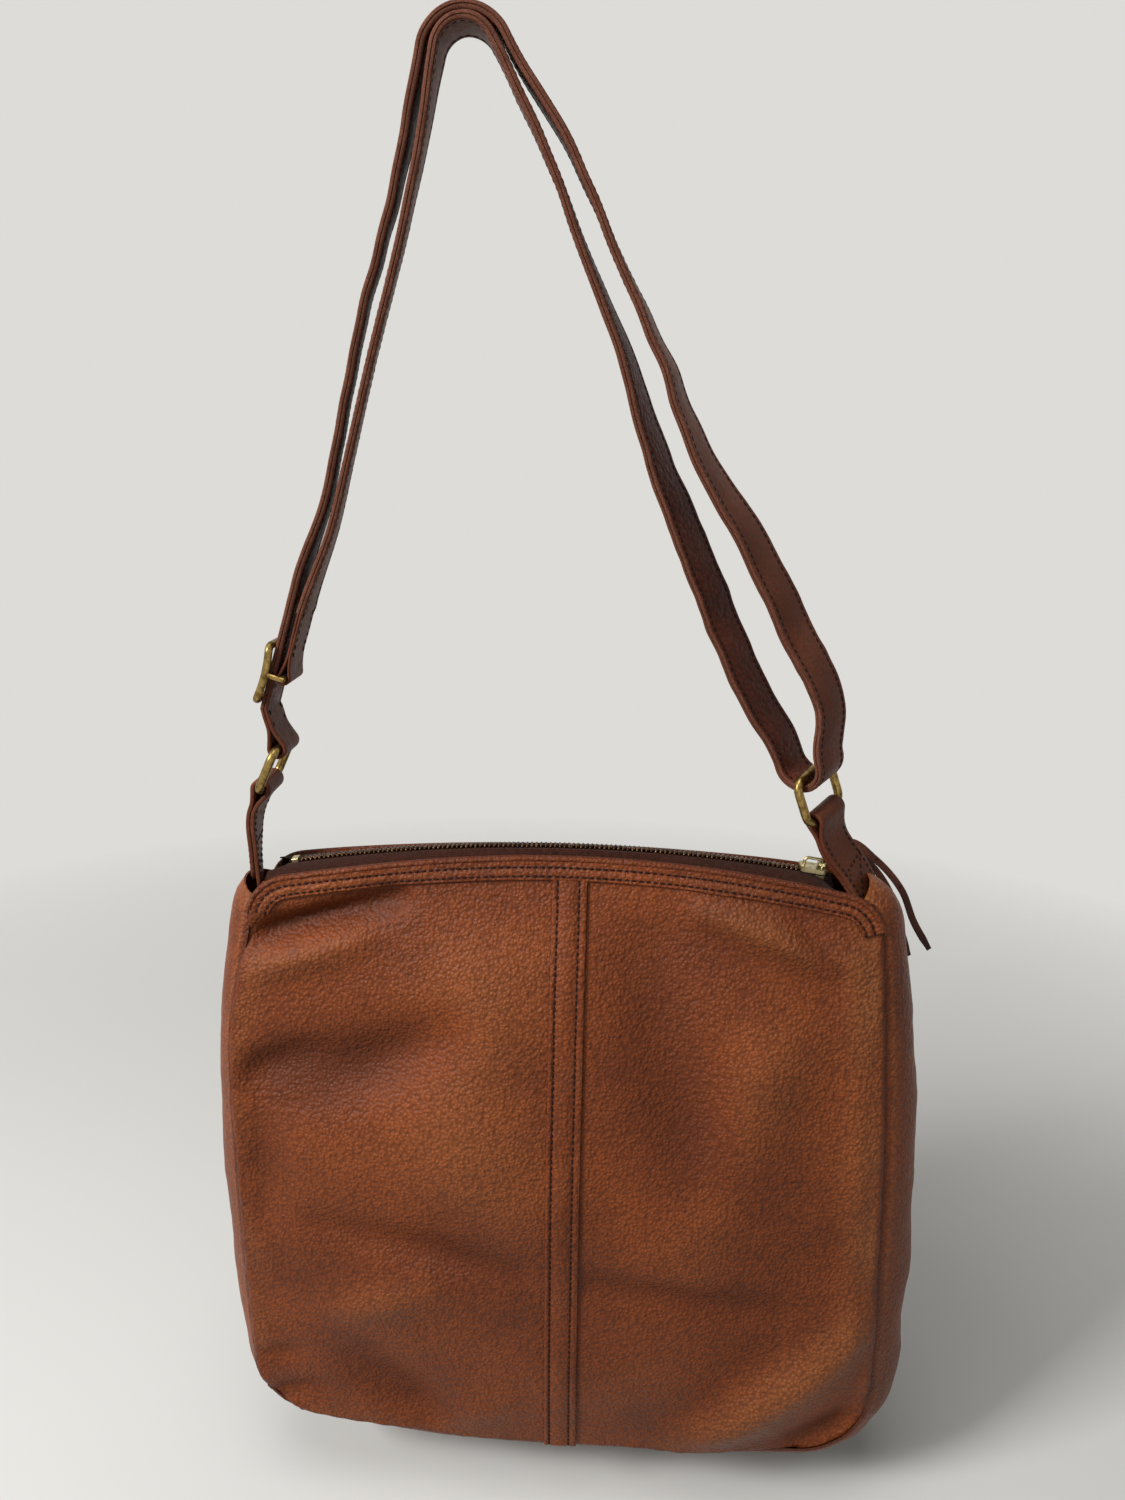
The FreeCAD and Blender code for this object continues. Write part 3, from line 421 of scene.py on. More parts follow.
@dataclass(frozen=True)
class PebbledLeather:
    """Cowhide, drum dyed and milled so that its grain shrinks into soft pebbles.

    The eye sees small rounded cells with fine valleys, cloudy changes of colour where hands have
    rubbed it, and a low, waxy shine that breaks up over the pebbles.
    """

    name: str
    base: str
    deep: str
    wear_and_painted_light: str
    pebble: float = 1.6  # real pebbles are about 0.7 mm; drawn coarser so that they show
    relief: float = 0.62
    rough_low: float = 0.33
    rough_high: float = 0.52
    cloud: float = 55.0
    crease: float = 0.0
    valley: float = 0.42
    shine: float = 0.16

    def colour(self, tree: NodeTree, place: NodeSocket, cells: NodeSocket, wide: NodeSocket) -> NodeSocket:
        """The dye: cloudy, mottled, lightened or darkened by the piece's tone, and deeper in the valleys. On
        the body the tone holds wear and painted light and shade.
        """
        base, deep, wear_and_painted_light = linear(self.base), linear(self.deep), linear(self.wear_and_painted_light)
        tone = add_node(tree, "ShaderNodeAttribute", {"attribute_name": "tone"}).outputs["Fac"]
        clouds = noise(tree, place, 1 / self.cloud, 3.0, 0.6)
        colour = mixed(tree, ranged(tree, clouds, 0.34, 0.66, 0.3, 1.0), deep, base)
        # Tone above 0 leads to the lighter colour and below 0 to the deep one. Besides wear, it carries
        # painted light on fold ridges and painted shade in dents, grooves and seams.
        for value, low, high, start, end, towards in (
            (wide, 0.35, 0.7, 0.0, 0.55, base), (wide, 0.3, 0.5, 0.2, 0.0, deep),
            (tone, 0.0, 1.0, 0.0, 0.85, wear_and_painted_light), (tone, -1.0, 0.0, 0.8, 0.0, deep),
            (cells, 0.22, 0.7, 0.0, self.valley, deep),
        ):
            colour = mixed(tree, ranged(tree, value, low, high, start, end), colour, towards)
        return colour

    def material(self) -> Material:
        """Builds the finish."""
        material, tree, shader = blank_material(self.name)
        place = millimetres(tree)
        values = {"Scale": 0.55, "Detail": 1.0}
        warp = add_node(tree, "ShaderNodeTexNoise", values=values, links={"Vector": place})
        bent = add_node(
            tree, "ShaderNodeMix", {"data_type": "VECTOR"}, {0: 0.32}, {4: place, 5: warp.outputs["Color"]}
        )
        cells = add_node(
            tree,
            "ShaderNodeTexVoronoi",
            {"feature": "SMOOTH_F1"},
            {"Scale": 1 / self.pebble / 0.68, "Smoothness": 0.45, "Randomness": 1.0},
            {"Vector": bent.outputs[1]},
        ).outputs["Distance"]
        wide = noise(tree, place, 0.33, 4.0, 0.6)
        tree.links.new(self.colour(tree, place, cells, wide), shader.inputs["Base Color"])
        rough = ranged(tree, wide, 0.3, 0.7, self.rough_low, self.rough_high)
        tree.links.new(rough, shader.inputs["Roughness"])
        height = added(tree, cells, -1.0, ranged(tree, wide, 0, 1, 0, 1.1))
        height = added(tree, noise(tree, place, 3.2, 2.0, 0.55), 0.22, height)
        if self.crease:
            values = {"Scale": 0.16, "Detail": 3.0, "Distortion": 0.8}
            folds = add_node(tree, "ShaderNodeTexNoise", values=values, links={"Vector": place})
            height = added(tree, folds.outputs["Fac"], self.crease, height)
        relieved(tree, shader, height, 1.0, self.relief * 0.001)
        preset(shader, {"IOR": 1.48, "Specular IOR Level": self.shine})
        return material


@dataclass(frozen=True)
class CutEdge:
    """The raw edge of split hide: fibrous, matt and a little redder than the dyed face."""

    name: str
    base: str
    deep: str

    def material(self) -> Material:
        """Builds the finish."""
        material, tree, shader = blank_material(self.name)
        fibre = noise(tree, millimetres(tree), 1.7, 4.0, 0.7)
        share = ranged(tree, fibre, 0.35, 0.65, 0.0, 1.0)
        dyed(tree, shader, share, self.deep, self.base)
        relieved(tree, shader, fibre, 0.8, 0.00018)
        preset(shader, {"Roughness": 0.78, "IOR": 1.48, "Specular IOR Level": 0.15})
        return material


@dataclass(frozen=True)
class AntiqueBrass:
    """Brass that was tumbled, blackened and rubbed back.

    The eye sees warm metal on every proud edge and a brown-black film left in the low places.
    """

    name: str
    bright: str = "#a08650"
    film: str = "#59431f"
    rubbed: float = 0.5

    def material(self) -> Material:
        """Builds the finish."""
        material, tree, shader = blank_material(self.name)
        film = noise(tree, millimetres(tree), 0.35, 5.0, 0.65)
        scratch = noise(tree, millimetres(tree, (4.0, 0.6, 4.0)), 1.0, 3.0, 0.7)
        share = ranged(tree, film, self.rubbed - 0.14, self.rubbed + 0.12, 0.0, 1.0)
        dyed(tree, shader, share, self.film, self.bright)
        tree.links.new(ranged(tree, film, 0.35, 0.65, 0.46, 0.24), shader.inputs["Roughness"])
        relieved(tree, shader, scratch, 0.35, 0.00004)
        preset(shader, {"Metallic": 1.0})
        return material


@dataclass(frozen=True)
class WovenCloth:
    """Plain-woven yarn: over-and-under crossings that catch a soft, dry light."""

    name: str
    base: str
    deep: str
    pitch: float
    relief: float = 0.12
    sheen: float = 0.15

    def material(self) -> Material:
        """Builds the finish; the weave follows the piece's own cloth layer."""
        material, tree, shader = blank_material(self.name)
        place = add_node(tree, "ShaderNodeUVMap", {"uv_map": "cloth"}).outputs["UV"]
        scale = {"Scale": (1000 / self.pitch,) * 3}
        yarn = add_node(tree, "ShaderNodeMapping", values=scale, links={"Vector": place}).outputs["Vector"]
        values = {"Scale": 0.314, "Distortion": 0.6, "Detail": 1.0}
        bands = {}
        for number, axis in enumerate("XY"):
            settings = {"wave_type": "BANDS", "bands_direction": axis}
            wave = add_node(tree, "ShaderNodeTexWave", settings, values, {"Vector": yarn})
            bands[number] = wave.outputs["Fac"]
        weave = add_node(tree, "ShaderNodeMath", {"operation": "MAXIMUM"}, links=bands).outputs[0]
        slub = noise(tree, millimetres(tree), 0.5, 3.0)
        share = add_node(tree, "ShaderNodeMath", {"operation": "MULTIPLY"}, links={0: weave, 1: slub})
        tone = ranged(tree, share.outputs[0], 0.15, 0.6, 0.0, 1.0)
        dyed(tree, shader, tone, self.deep, self.base)
        relieved(tree, shader, weave, 0.9, self.relief * 0.001)
        preset(shader, {"Roughness": 0.82, "Specular IOR Level": 0.1, "Sheen Weight": self.sheen})
        return material


@dataclass(frozen=True)
class WaxedThread:
    """Twisted polyester thread run through wax: dark, tight and faintly glossy."""

    name: str
    base: str
    deep: str

    def material(self) -> Material:
        """Builds the finish."""
        material, tree, shader = blank_material(self.name)
        strand = noise(tree, millimetres(tree), 3.0, 2.0, 0.6)
        share = ranged(tree, strand, 0.35, 0.65, 0.0, 1.0)
        dyed(tree, shader, share, self.deep, self.base)
        tree.links.new(ranged(tree, strand, 0.3, 0.7, 0.62, 0.8), shader.inputs["Roughness"])
        preset(shader, {"Specular IOR Level": 0.15})
        return material


class Finishes:
    """Every finish of the bag, built once."""

    def __init__(self) -> None:
        """Builds the materials."""
        self.body = PebbledLeather(
            "tan_milled_cowhide", "#8f4820", "#4a1f0c", "#a5683c", valley=0.5, shine=0.2
        ).material()
        self.strap = PebbledLeather(
            "brown_smooth_strap_leather", "#6b3825", "#482516", "#8c5840", 1.5, 0.12, 0.42, 0.6, 24.0, 0.9
        ).material()
        self.strap_back = PebbledLeather(
            "dark_pebbled_strap_lining_leather", "#66301f", "#3a1a10", "#7a4836", 2.1, 0.5, 0.4, 0.58, 20.0
        ).material()
        self.lace = PebbledLeather(
            "dark_brown_lace_leather", "#4c2a1f", "#2c1712", "#84503a", 1.1, 0.08, 0.4, 0.55, 12.0
        ).material()
        self.edge = CutEdge("cut_leather_edge", "#784a38", "#43251a").material()
        self.brass = AntiqueBrass("antique_brass_cast").material()
        self.slider_brass = AntiqueBrass("antique_brass_zip_slider", "#c2b489", "#6b5a3a", 0.42).material()
        self.tape = WovenCloth(
            "zip_tape_herringbone_polyester", "#43241a", "#22110c", 0.9, sheen=0.03
        ).material()
        self.coil = AntiqueBrass("zip_teeth_dark_brass", "#6e5138", "#2e1d14", 0.52).material()
        self.cloth = WovenCloth("lining_cotton_twill", "#6a4b3c", "#4a3329", 0.8, 0.1, 0.2).material()
        self.thread = WaxedThread("dark_brown_waxed_thread", "#2b120a", "#120604").material()


# ------------------ repeated pieces


class GrowTree:
    """Geometry Nodes that stand small copies of one form along a path of points with a facing."""

    def __init__(self, name: str, sizes: Dict[str, float], seed: Optional[int] = None) -> None:
        """Starts the tree: named inputs, and places and turns along the path."""
        self.tree = tree = bpy.data.node_groups.new(name, "GeometryNodeTree")
        sockets = [("Geometry", "Geometry", None)] + [(key, "Float", value) for key, value in sizes.items()]
        sockets += [("Seed", "Int", seed)] if seed is not None else []
        for key, kind, value in sockets + [("Material", "Material", None)]:
            socket = tree.interface.new_socket(key, in_out="INPUT", socket_type=f"NodeSocket{kind}")
            if value is not None:
                socket.default_value = value
        tree.interface.new_socket("Geometry", in_out="OUTPUT", socket_type="NodeSocketGeometry")
        self.inputs = add_node(tree, "NodeGroupInput").outputs
        line = add_node(tree, "GeometryNodeMeshToCurve", links={0: self.inputs["Geometry"]})
        spacing = {"Curve": line.outputs[0], "Length": self.inputs["Pitch"]}
        self.even = add_node(tree, "GeometryNodeResampleCurve", {"mode": "LENGTH"}, links=spacing)
        run = add_node(tree, "GeometryNodeInputTangent")
        vector = {"data_type": "FLOAT_VECTOR"}
        out = add_node(tree, "GeometryNodeInputNamedAttribute", vector, {"Name": "faces"})
        axes = {"primary_axis": "X", "secondary_axis": "Z"}
        ways = {0: run.outputs[0], 1: out.outputs["Attribute"]}
        self.turn = add_node(tree, "FunctionNodeAxesToRotation", axes, links=ways)

    def size(self, *names: str) -> NodeSocket:
        """A vector of three named inputs."""
        links = {k: self.inputs[name] for k, name in enumerate(names)}
        return add_node(self.tree, "ShaderNodeCombineXYZ", links=links).outputs[0]

    def finish(self, form: NodeSocket, scale: Optional[NodeSocket] = None) -> NodeTree:
        """Stands the form at each place, makes it plain mesh and gives it its material."""
        tree = self.tree
        links = {"Points": self.even.outputs[0], "Instance": form, "Rotation": self.turn.outputs[0]}
        if scale is not None:
            links["Scale"] = scale
        laid = add_node(tree, "GeometryNodeInstanceOnPoints", links=links)
        real = add_node(tree, "GeometryNodeRealizeInstances", links={0: laid.outputs[0]})
        dress = {"Geometry": real.outputs[0], "Material": self.inputs["Material"]}
        dressed = add_node(tree, "GeometryNodeSetMaterial", links=dress)
        add_node(tree, "NodeGroupOutput", links={0: dressed.outputs[0]})
        return tree


@dataclass
class StitchMaker:
    """Lays stitches along paths.

    A path is a line of points that carry the direction their leather faces.
    """

    material: Material
    tree: NodeTree = field(init=False)
    pitch: float = 3.1
    length: float = 2.4
    thread: float = 1.3  # real thread is about 0.8 mm; drawn thicker so that it shows
    proud: float = 0.7

    def __post_init__(self) -> None:
        """Builds the tree: a flattened bead for each stitch, some a little shorter."""
        sizes = {"Pitch": 0.003, "Stitch Length": 0.0024, "Thread": 0.0008, "Proud": 0.0005}
        grow = GrowTree("stitches_along_a_seam", sizes, 7)
        tree = grow.tree
        bead = add_node(tree, "GeometryNodeMeshUVSphere", values={"Segments": 6, "Rings": 4, "Radius": 0.5})
        shape = {"Geometry": bead.outputs[0], "Scale": grow.size("Stitch Length", "Thread", "Proud")}
        stitch = add_node(tree, "GeometryNodeTransform", links=shape)
        seed = {"Seed": grow.inputs["Seed"]}
        vary = add_node(tree, "FunctionNodeRandomValue", {"data_type": "FLOAT"}, {2: 0.86, 3: 1.08}, seed)
        self.tree = grow.finish(stitch.outputs[0], vary.outputs[1])

    def make(
        self,
        name: str,
        paths: Sequence[Tuple[Array, Array]],
        pitch: Optional[float] = None,
        length: Optional[float] = None,
    ) -> Object:
        """Lays stitches along paths.

        Args:
            name: The piece's name.
            paths: Pairs of points and the directions they face, in the bag's frame.
            pitch: Distance from stitch to stitch, where it isn't the usual one.
            length: Length of a stitch that shows, where it isn't the usual one.

        Returns:
            A plain mesh object.
        """
        mesh = path_mesh(name, paths)
        sizes = {
            "Pitch": (pitch or self.pitch) * 0.001,
            "Stitch Length": (length or self.length) * 0.001,
            "Thread": self.thread * 0.001,
            "Proud": self.proud * 0.001,
            "Seed": len(mesh.vertices),
            "Material": self.material,
        }
        return grown(name, mesh, self.tree, sizes)


def path_mesh(name: str, paths: Sequence[Tuple[Array, Array]]) -> Mesh:
    """Lines of points with the directions that they face."""
    points, edges, facing = [], [], []
    for line, faces in paths:
        start = len(points)
        points += to_row(line).tolist()
        facing += np.broadcast_to(faces, line.shape).tolist()
        edges += [(start + k, start + k + 1) for k in range(len(line) - 1)]
    mesh = bpy.data.meshes.new(name)
    mesh.from_pydata(points, edges, [])
    faces = mesh.attributes.new("faces", "FLOAT_VECTOR", "POINT")
    faces.data.foreach_set("vector", np.asarray(facing, np.float32).ravel())
    return mesh


def grown(name: str, mesh: Mesh, tree: NodeTree, sizes: Dict[str, object]) -> Object:
    """The plain mesh that a geometry tree makes from another mesh.

    Args:
        name: The new piece's name.
        mesh: What the tree starts from.
        tree: The geometry tree.
        sizes: Values of its named inputs.

    Returns:
        A mesh object without a modifier.
    """
    seed = placed(name + "_path", mesh)
    modifier = seed.modifiers.new("grow", "NODES")
    modifier.node_group = tree
    sockets = {item.name: item.identifier for item in tree.interface.items_tree if item.in_out == "INPUT"}
    for key, value in sizes.items():
        modifier[sockets[key]] = value
    graph = bpy.context.evaluated_depsgraph_get()
    result = bpy.data.meshes.new_from_object(
        seed.evaluated_get(graph), preserve_all_data_layers=True, depsgraph=graph
    )
    result.name = name
    result.polygons.foreach_set("use_smooth", np.ones(len(result.polygons), bool))
    bpy.data.objects.remove(seed)
    bpy.data.meshes.remove(mesh)
    return placed(name, result)


# ------------------ the bag's form


@dataclass(frozen=True)
class Fold:
    """One soft fold of the leather: a ridge if its height is positive, a dent if not."""

    start: Tuple[float, float]
    end: Tuple[float, float]
    width: float
    height: float

    def rise(self, x: Array, z: Array) -> Array:
        """How far the fold lifts the leather at places in the front view."""
        a, b = np.array(self.start), np.array(self.end)
        run = b - a
        share = np.clip(((x - a[0]) * run[0] + (z - a[1]) * run[1]) / (run @ run + 1e-9), 0, 1)
        away = np.hypot(x - a[0] - share * run[0], z - a[1] - share * run[1])
        fade = 1 - 0.35 * (2 * share - 1) ** 2
        return self.height * fade * np.exp(-((away / self.width) ** 2))


FRONT_FOLDS = (
    Fold((-146, -46), (-78, -22), 7, -6.2), Fold((-132, -56), (-96, -42), 8, 2.4),
    Fold((-112, -112), (-56, -84), 16, -5.2), Fold((-140, -112), (-112, -96), 9, -3.6),
    Fold((-131, -125), (-136, -182), 11, -2.6), Fold((-110, -183), (-22, -201), 9, -2.4),
    Fold((-101, -230), (-62, -213), 10, 2.0), Fold((-94, -262), (-66, -296), 14, -4.2),
    Fold((-62, -304), (-30, -286), 12, 1.8), Fold((-36, -60), (-48, -150), 30, 3.0),
    Fold((-147, -32), (-149, -120), 8, 1.6), Fold((34, -50), (64, -146), 20, -3.8),
    Fold((92, -90), (70, -160), 17, 2.4), Fold((16, -206), (100, -218), 9, -2.4),
    Fold((58, -314), (144, -226), 14, 5.2), Fold((104, -314), (148, -276), 11, -4.6),
    Fold((62, -22), (124, -44), 8, 3.4), Fold((131, -50), (139, -230), 9, 1.4),
    Fold((100, -26), (122, -48), 5, -1.8), Fold((-150, -300), (-120, -286), 7, -2.0),
    Fold((-146, -268), (-128, -262), 6, -1.6),
)
BACK_FOLDS = (
    Fold((-120, -60), (-30, -96), 20, -3.4), Fold((20, -50), (110, -84), 22, -3.0),
    Fold((-110, -200), (90, -214), 12, -2.2), Fold((-130, -290), (-60, -240), 14, 3.0),
    Fold((70, -250), (130, -296), 13, 2.6),
)


@dataclass
class BagForm:
    """The leather body's shape, in millimetres."""

    height: float = 312.0
    half_top: float = 137.0
    half_bottom: float = 148.0
    side_belly: float = 4.0
    bottom_sag: float = 8.0
    top_corner: float = 20.0
    bottom_corner: float = 34.0
    seam_top: float = 14.0
    seam_bottom: float = 28.0
    seam_belly: float = 8.0
    middle_top: float = 6.5
    middle_bottom: float = 28.0
    middle_belly: float = 20.0
    swell_top: float = 8.0
    swell_bottom: float = 15.0
    swell_belly: float = 9.0
    zip_radius: float = 720.0
    tape_show: float = 2.5
    leather: float = 1.4
    seam_roll: float = 2.9
    shut_end: float = 114.0
    open_start: float = 8.0
    left_spread: float = 7.0
    corner_spread: float = 7.0
    fold_gain: float = 1.55
    lump_size: float = 46.0
    lump_height: float = 1.1
    held_share: float = 0.4
    low_tuck: float = 2.0
    left_lift: float = 7.0
    right_sag: float = 1.0

    def bow(self, share: Array, start: float, end: float, belly: float) -> Array:
        """A value that runs from start to end and swells by belly half way."""
        return start + (end - start) * share + 4 * belly * share * (1 - share)

    def half_width(self, z: Array) -> Array:
        """Half the body's width at a height."""
        return self.bow(-z / self.height, self.half_top, self.half_bottom, self.side_belly)

    def seam_depth(self, z: Array) -> Array:
        """Half the body's depth at its side seams."""
        return self.bow(-z / self.height, self.seam_top, self.seam_bottom, self.seam_belly)

    def swell(self, z: Array) -> Array:
        """How far the gusset stands out past the seams."""
        return self.bow(-z / self.height, self.swell_top, self.swell_bottom, self.swell_belly)

    def plain_depth(self, x: Array, z: Array) -> Array:
        """Half depth of the body with no folds."""
        middle = self.bow(-z / self.height, self.middle_top, self.middle_bottom, self.middle_belly)
        return middle + (self.seam_depth(z) - middle) * (x / self.half_width(z)) ** 2

    def zip_height(self, x: Array, below: float = 0.0) -> Array:
        """Height of the arched zip line, or of a line below it."""
        return np.sqrt((self.zip_radius - below) ** 2 - np.asarray(x, float) ** 2) - self.zip_radius

    def calm(self, x: Array, z: Array) -> Array:
        """0 at the zip and the seams, where the leather is held, and 1 where it is free."""
        side = smooth(self.half_width(z) - np.abs(x), 1.0, 15.0)
        top = smooth(self.zip_height(np.clip(x, -600, 600)) - z, 6.0, 26.0)
        low = smooth(z + self.height, 2.0, 24.0)
        return side * top * low

    def slump(self, x: Array, z: Array, side: Side) -> Array:
        """How far the folds lift the leather outwards."""
        folds = FRONT_FOLDS if side is Side.FRONT else BACK_FOLDS
        lift = sum(fold.rise(x, z) for fold in folds)
        flat = np.stack([x, z], axis=-1).reshape(-1, 2)
        seed = 11 if side is Side.FRONT else 12
        lumps = ripple(flat, self.lump_size, seed).reshape(np.shape(x)) * self.lump_height
        free = self.held_share + (1 - self.held_share) * self.calm(x, z)
        return (self.fold_gain * lift + lumps) * free

    def depth(self, x: Array, z: Array, side: Side) -> Array:
        """Half depth of the body's outer face, folds included."""
        return self.plain_depth(x, z) + self.slump(x, z, side)

    def outline(self, inset: float = 0.0, drop: float = 0.0) -> Tuple[Array, Array, Array]:
        """The right-hand half of the panel's outline in the front view.

        Args:
            inset: How far it is drawn in all round.
            drop: How much further its top edge is drawn in.

        Returns:
            Its top, its side and its bottom, which meet in the middle of the rounded corners.
        """
        top_radius = self.zip_radius - self.tape_show - inset - drop
        half_top, half_bottom = self.half_top - inset, self.half_bottom - inset
        corner_z = sqrt(top_radius**2 - half_top**2) - self.zip_radius
        low_z = inset - self.height
        side_z = (corner_z + low_z + self.bottom_sag) / 2
        low_corner = (half_bottom, low_z + self.bottom_sag)
        x = np.linspace(0, half_top, 140)
        top = np.stack([x, np.sqrt(top_radius**2 - x**2) - self.zip_radius], axis=1)
        side_x = float(self.half_width(np.array(side_z))) - inset
        side = arc_through((half_top, corner_z), (side_x, side_z), low_corner, 300)
        bottom = arc_through(low_corner, (0, low_z), (-low_corner[0], low_corner[1]), 301)[:151]
        top, high_bend, side = rounded_corner(top, side, self.top_corner - inset)
        side, low_bend, bottom = rounded_corner(side, bottom, self.bottom_corner - inset)
        return (
            np.concatenate([top, high_bend[1:21]]),
            np.concatenate([high_bend[20:-1], side, low_bend[1:21]]),
            np.concatenate([low_bend[20:-1], bottom]),
        )

    def round_trip(self, inset: float = 0.0, drop: float = 0.0) -> Array:
        """The whole outline from the top's middle round the right-hand side to the bottom's middle."""
        top, side, bottom = self.outline(inset, drop)
        return np.concatenate([top, side[1:], bottom[1:]])

    def open_with_mouth(self, piece: Object, half: Half) -> None:
        """Bakes a front piece's placement into its mesh."""
        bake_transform(piece)

    def shell(self, outer: Array, inner: Array) -> Skin:
        """The closed, settled shell between two grids."""
        return walled(self.settle(outer), self.settle(inner))

    def left_lean(self, x: Array, z: Array) -> Array:
        """How far the left-hand side seam leans outwards."""
        return self.left_spread * smooth(-x, 70.0, 140.0) * smooth(-z, 24.0, 100.0)

    def settle(self, points: Array) -> Array:
        """Lets the filled body lean and slouch in the front view."""
        points = np.array(points, float)
        x, z = points[..., 0], points[..., 2]
        low = smooth(-z, 185.0, 275.0)
        left = smooth(-x, 40.0, 165.0)
        right = smooth(x, 40.0, 165.0)
        corner = self.corner_spread * smooth(-x, 78.0, 137.0) * (1 - smooth(-z, 60.0, 220.0))
        spread = self.left_lean(x, z) + corner
        points[..., 0] = x - spread + left * low * self.low_tuck + right * low * self.low_tuck
        lift = left * low * self.left_lift * smooth(-z, 230.0, 320.0)
        points[..., 2] = z + lift - right * low * self.right_sag
        return points

    def on_face(self, x: Array, z: Array, side: Side, proud: Array = 0.0) -> Array:
        """Points on the body's outer face, or above it."""
        x, z = np.asarray(x, float), np.asarray(z, float)
        y = side.value * (self.depth(x, z, side) + proud)
        return np.stack([x, y, z], axis=-1)


def bridged(top: Array, side: Array, bottom: Array, middle: Array, across: Array, down: Array) -> Array:
    """A grid of front-view places between four edges, row by row from the top.

    Args:
        top: Upper edge, from the middle to the corner.
        side: Outer edge, downwards.
        bottom: Lower edge, from the corner to the middle.
        middle: Inner edge, downwards.
        across: Shares of the way from the middle to the side.
        down: Shares of the way from the top to the bottom.

    Returns:
        The grid of x and z.
    """
    upper = resample(top, across)[None, :, :]
    lower = resample(bottom[::-1], across)[None, :, :]
    inner = resample(middle, down)[:, None, :]
    outer = resample(side, down)[:, None, :]
    u, v = across[None, :, None], down[:, None, None]
    corners = (
        (1 - u) * (1 - v) * upper[:, :1]
        + u * (1 - v) * upper[:, -1:]
        + (1 - u) * v * lower[:, :1]
        + u * v * lower[:, -1:]
    )
    return (1 - v) * upper + v * lower + (1 - u) * inner + u * outer - corners


def beside(path: Array, hand: float) -> Array:
    """Unit directions to the right of a front-view path's run, or to the left if hand is -1."""
    run = unit(np.gradient(path, axis=0))
    return np.stack([run[:, 1], -run[:, 0]], axis=1) * hand


def crowded(length: float, step: float, start: bool, end: bool) -> Array:
    """Shares along an edge that lie step apart, and closer at the ends that are rolled."""
    fine = np.array([0.0, 0.35, 0.8, 1.35, 2.0, 2.8, 3.8])
    low = fine[-1] if start else 0.0
    high = length - (fine[-1] if end else 0.0)
    body = np.linspace(low, high, max(2, int((high - low) / step) + 1))
    parts = [body]
    if start:
        parts.insert(0, fine[:-1])
    if end:
        parts.append((length - fine[:-1])[::-1])
    return np.concatenate(parts) / length


def closest(points: Array, path: Array) -> Array:
    """Distance from each point to the nearest point of a path."""
    found = np.empty(len(points))
    for k in range(0, len(points), 4000):
        gap = points[k : k + 4000, None, :] - path[None, :, :]
        found[k : k + 4000] = np.sqrt((gap**2).sum(axis=2).min(axis=1))
    return found


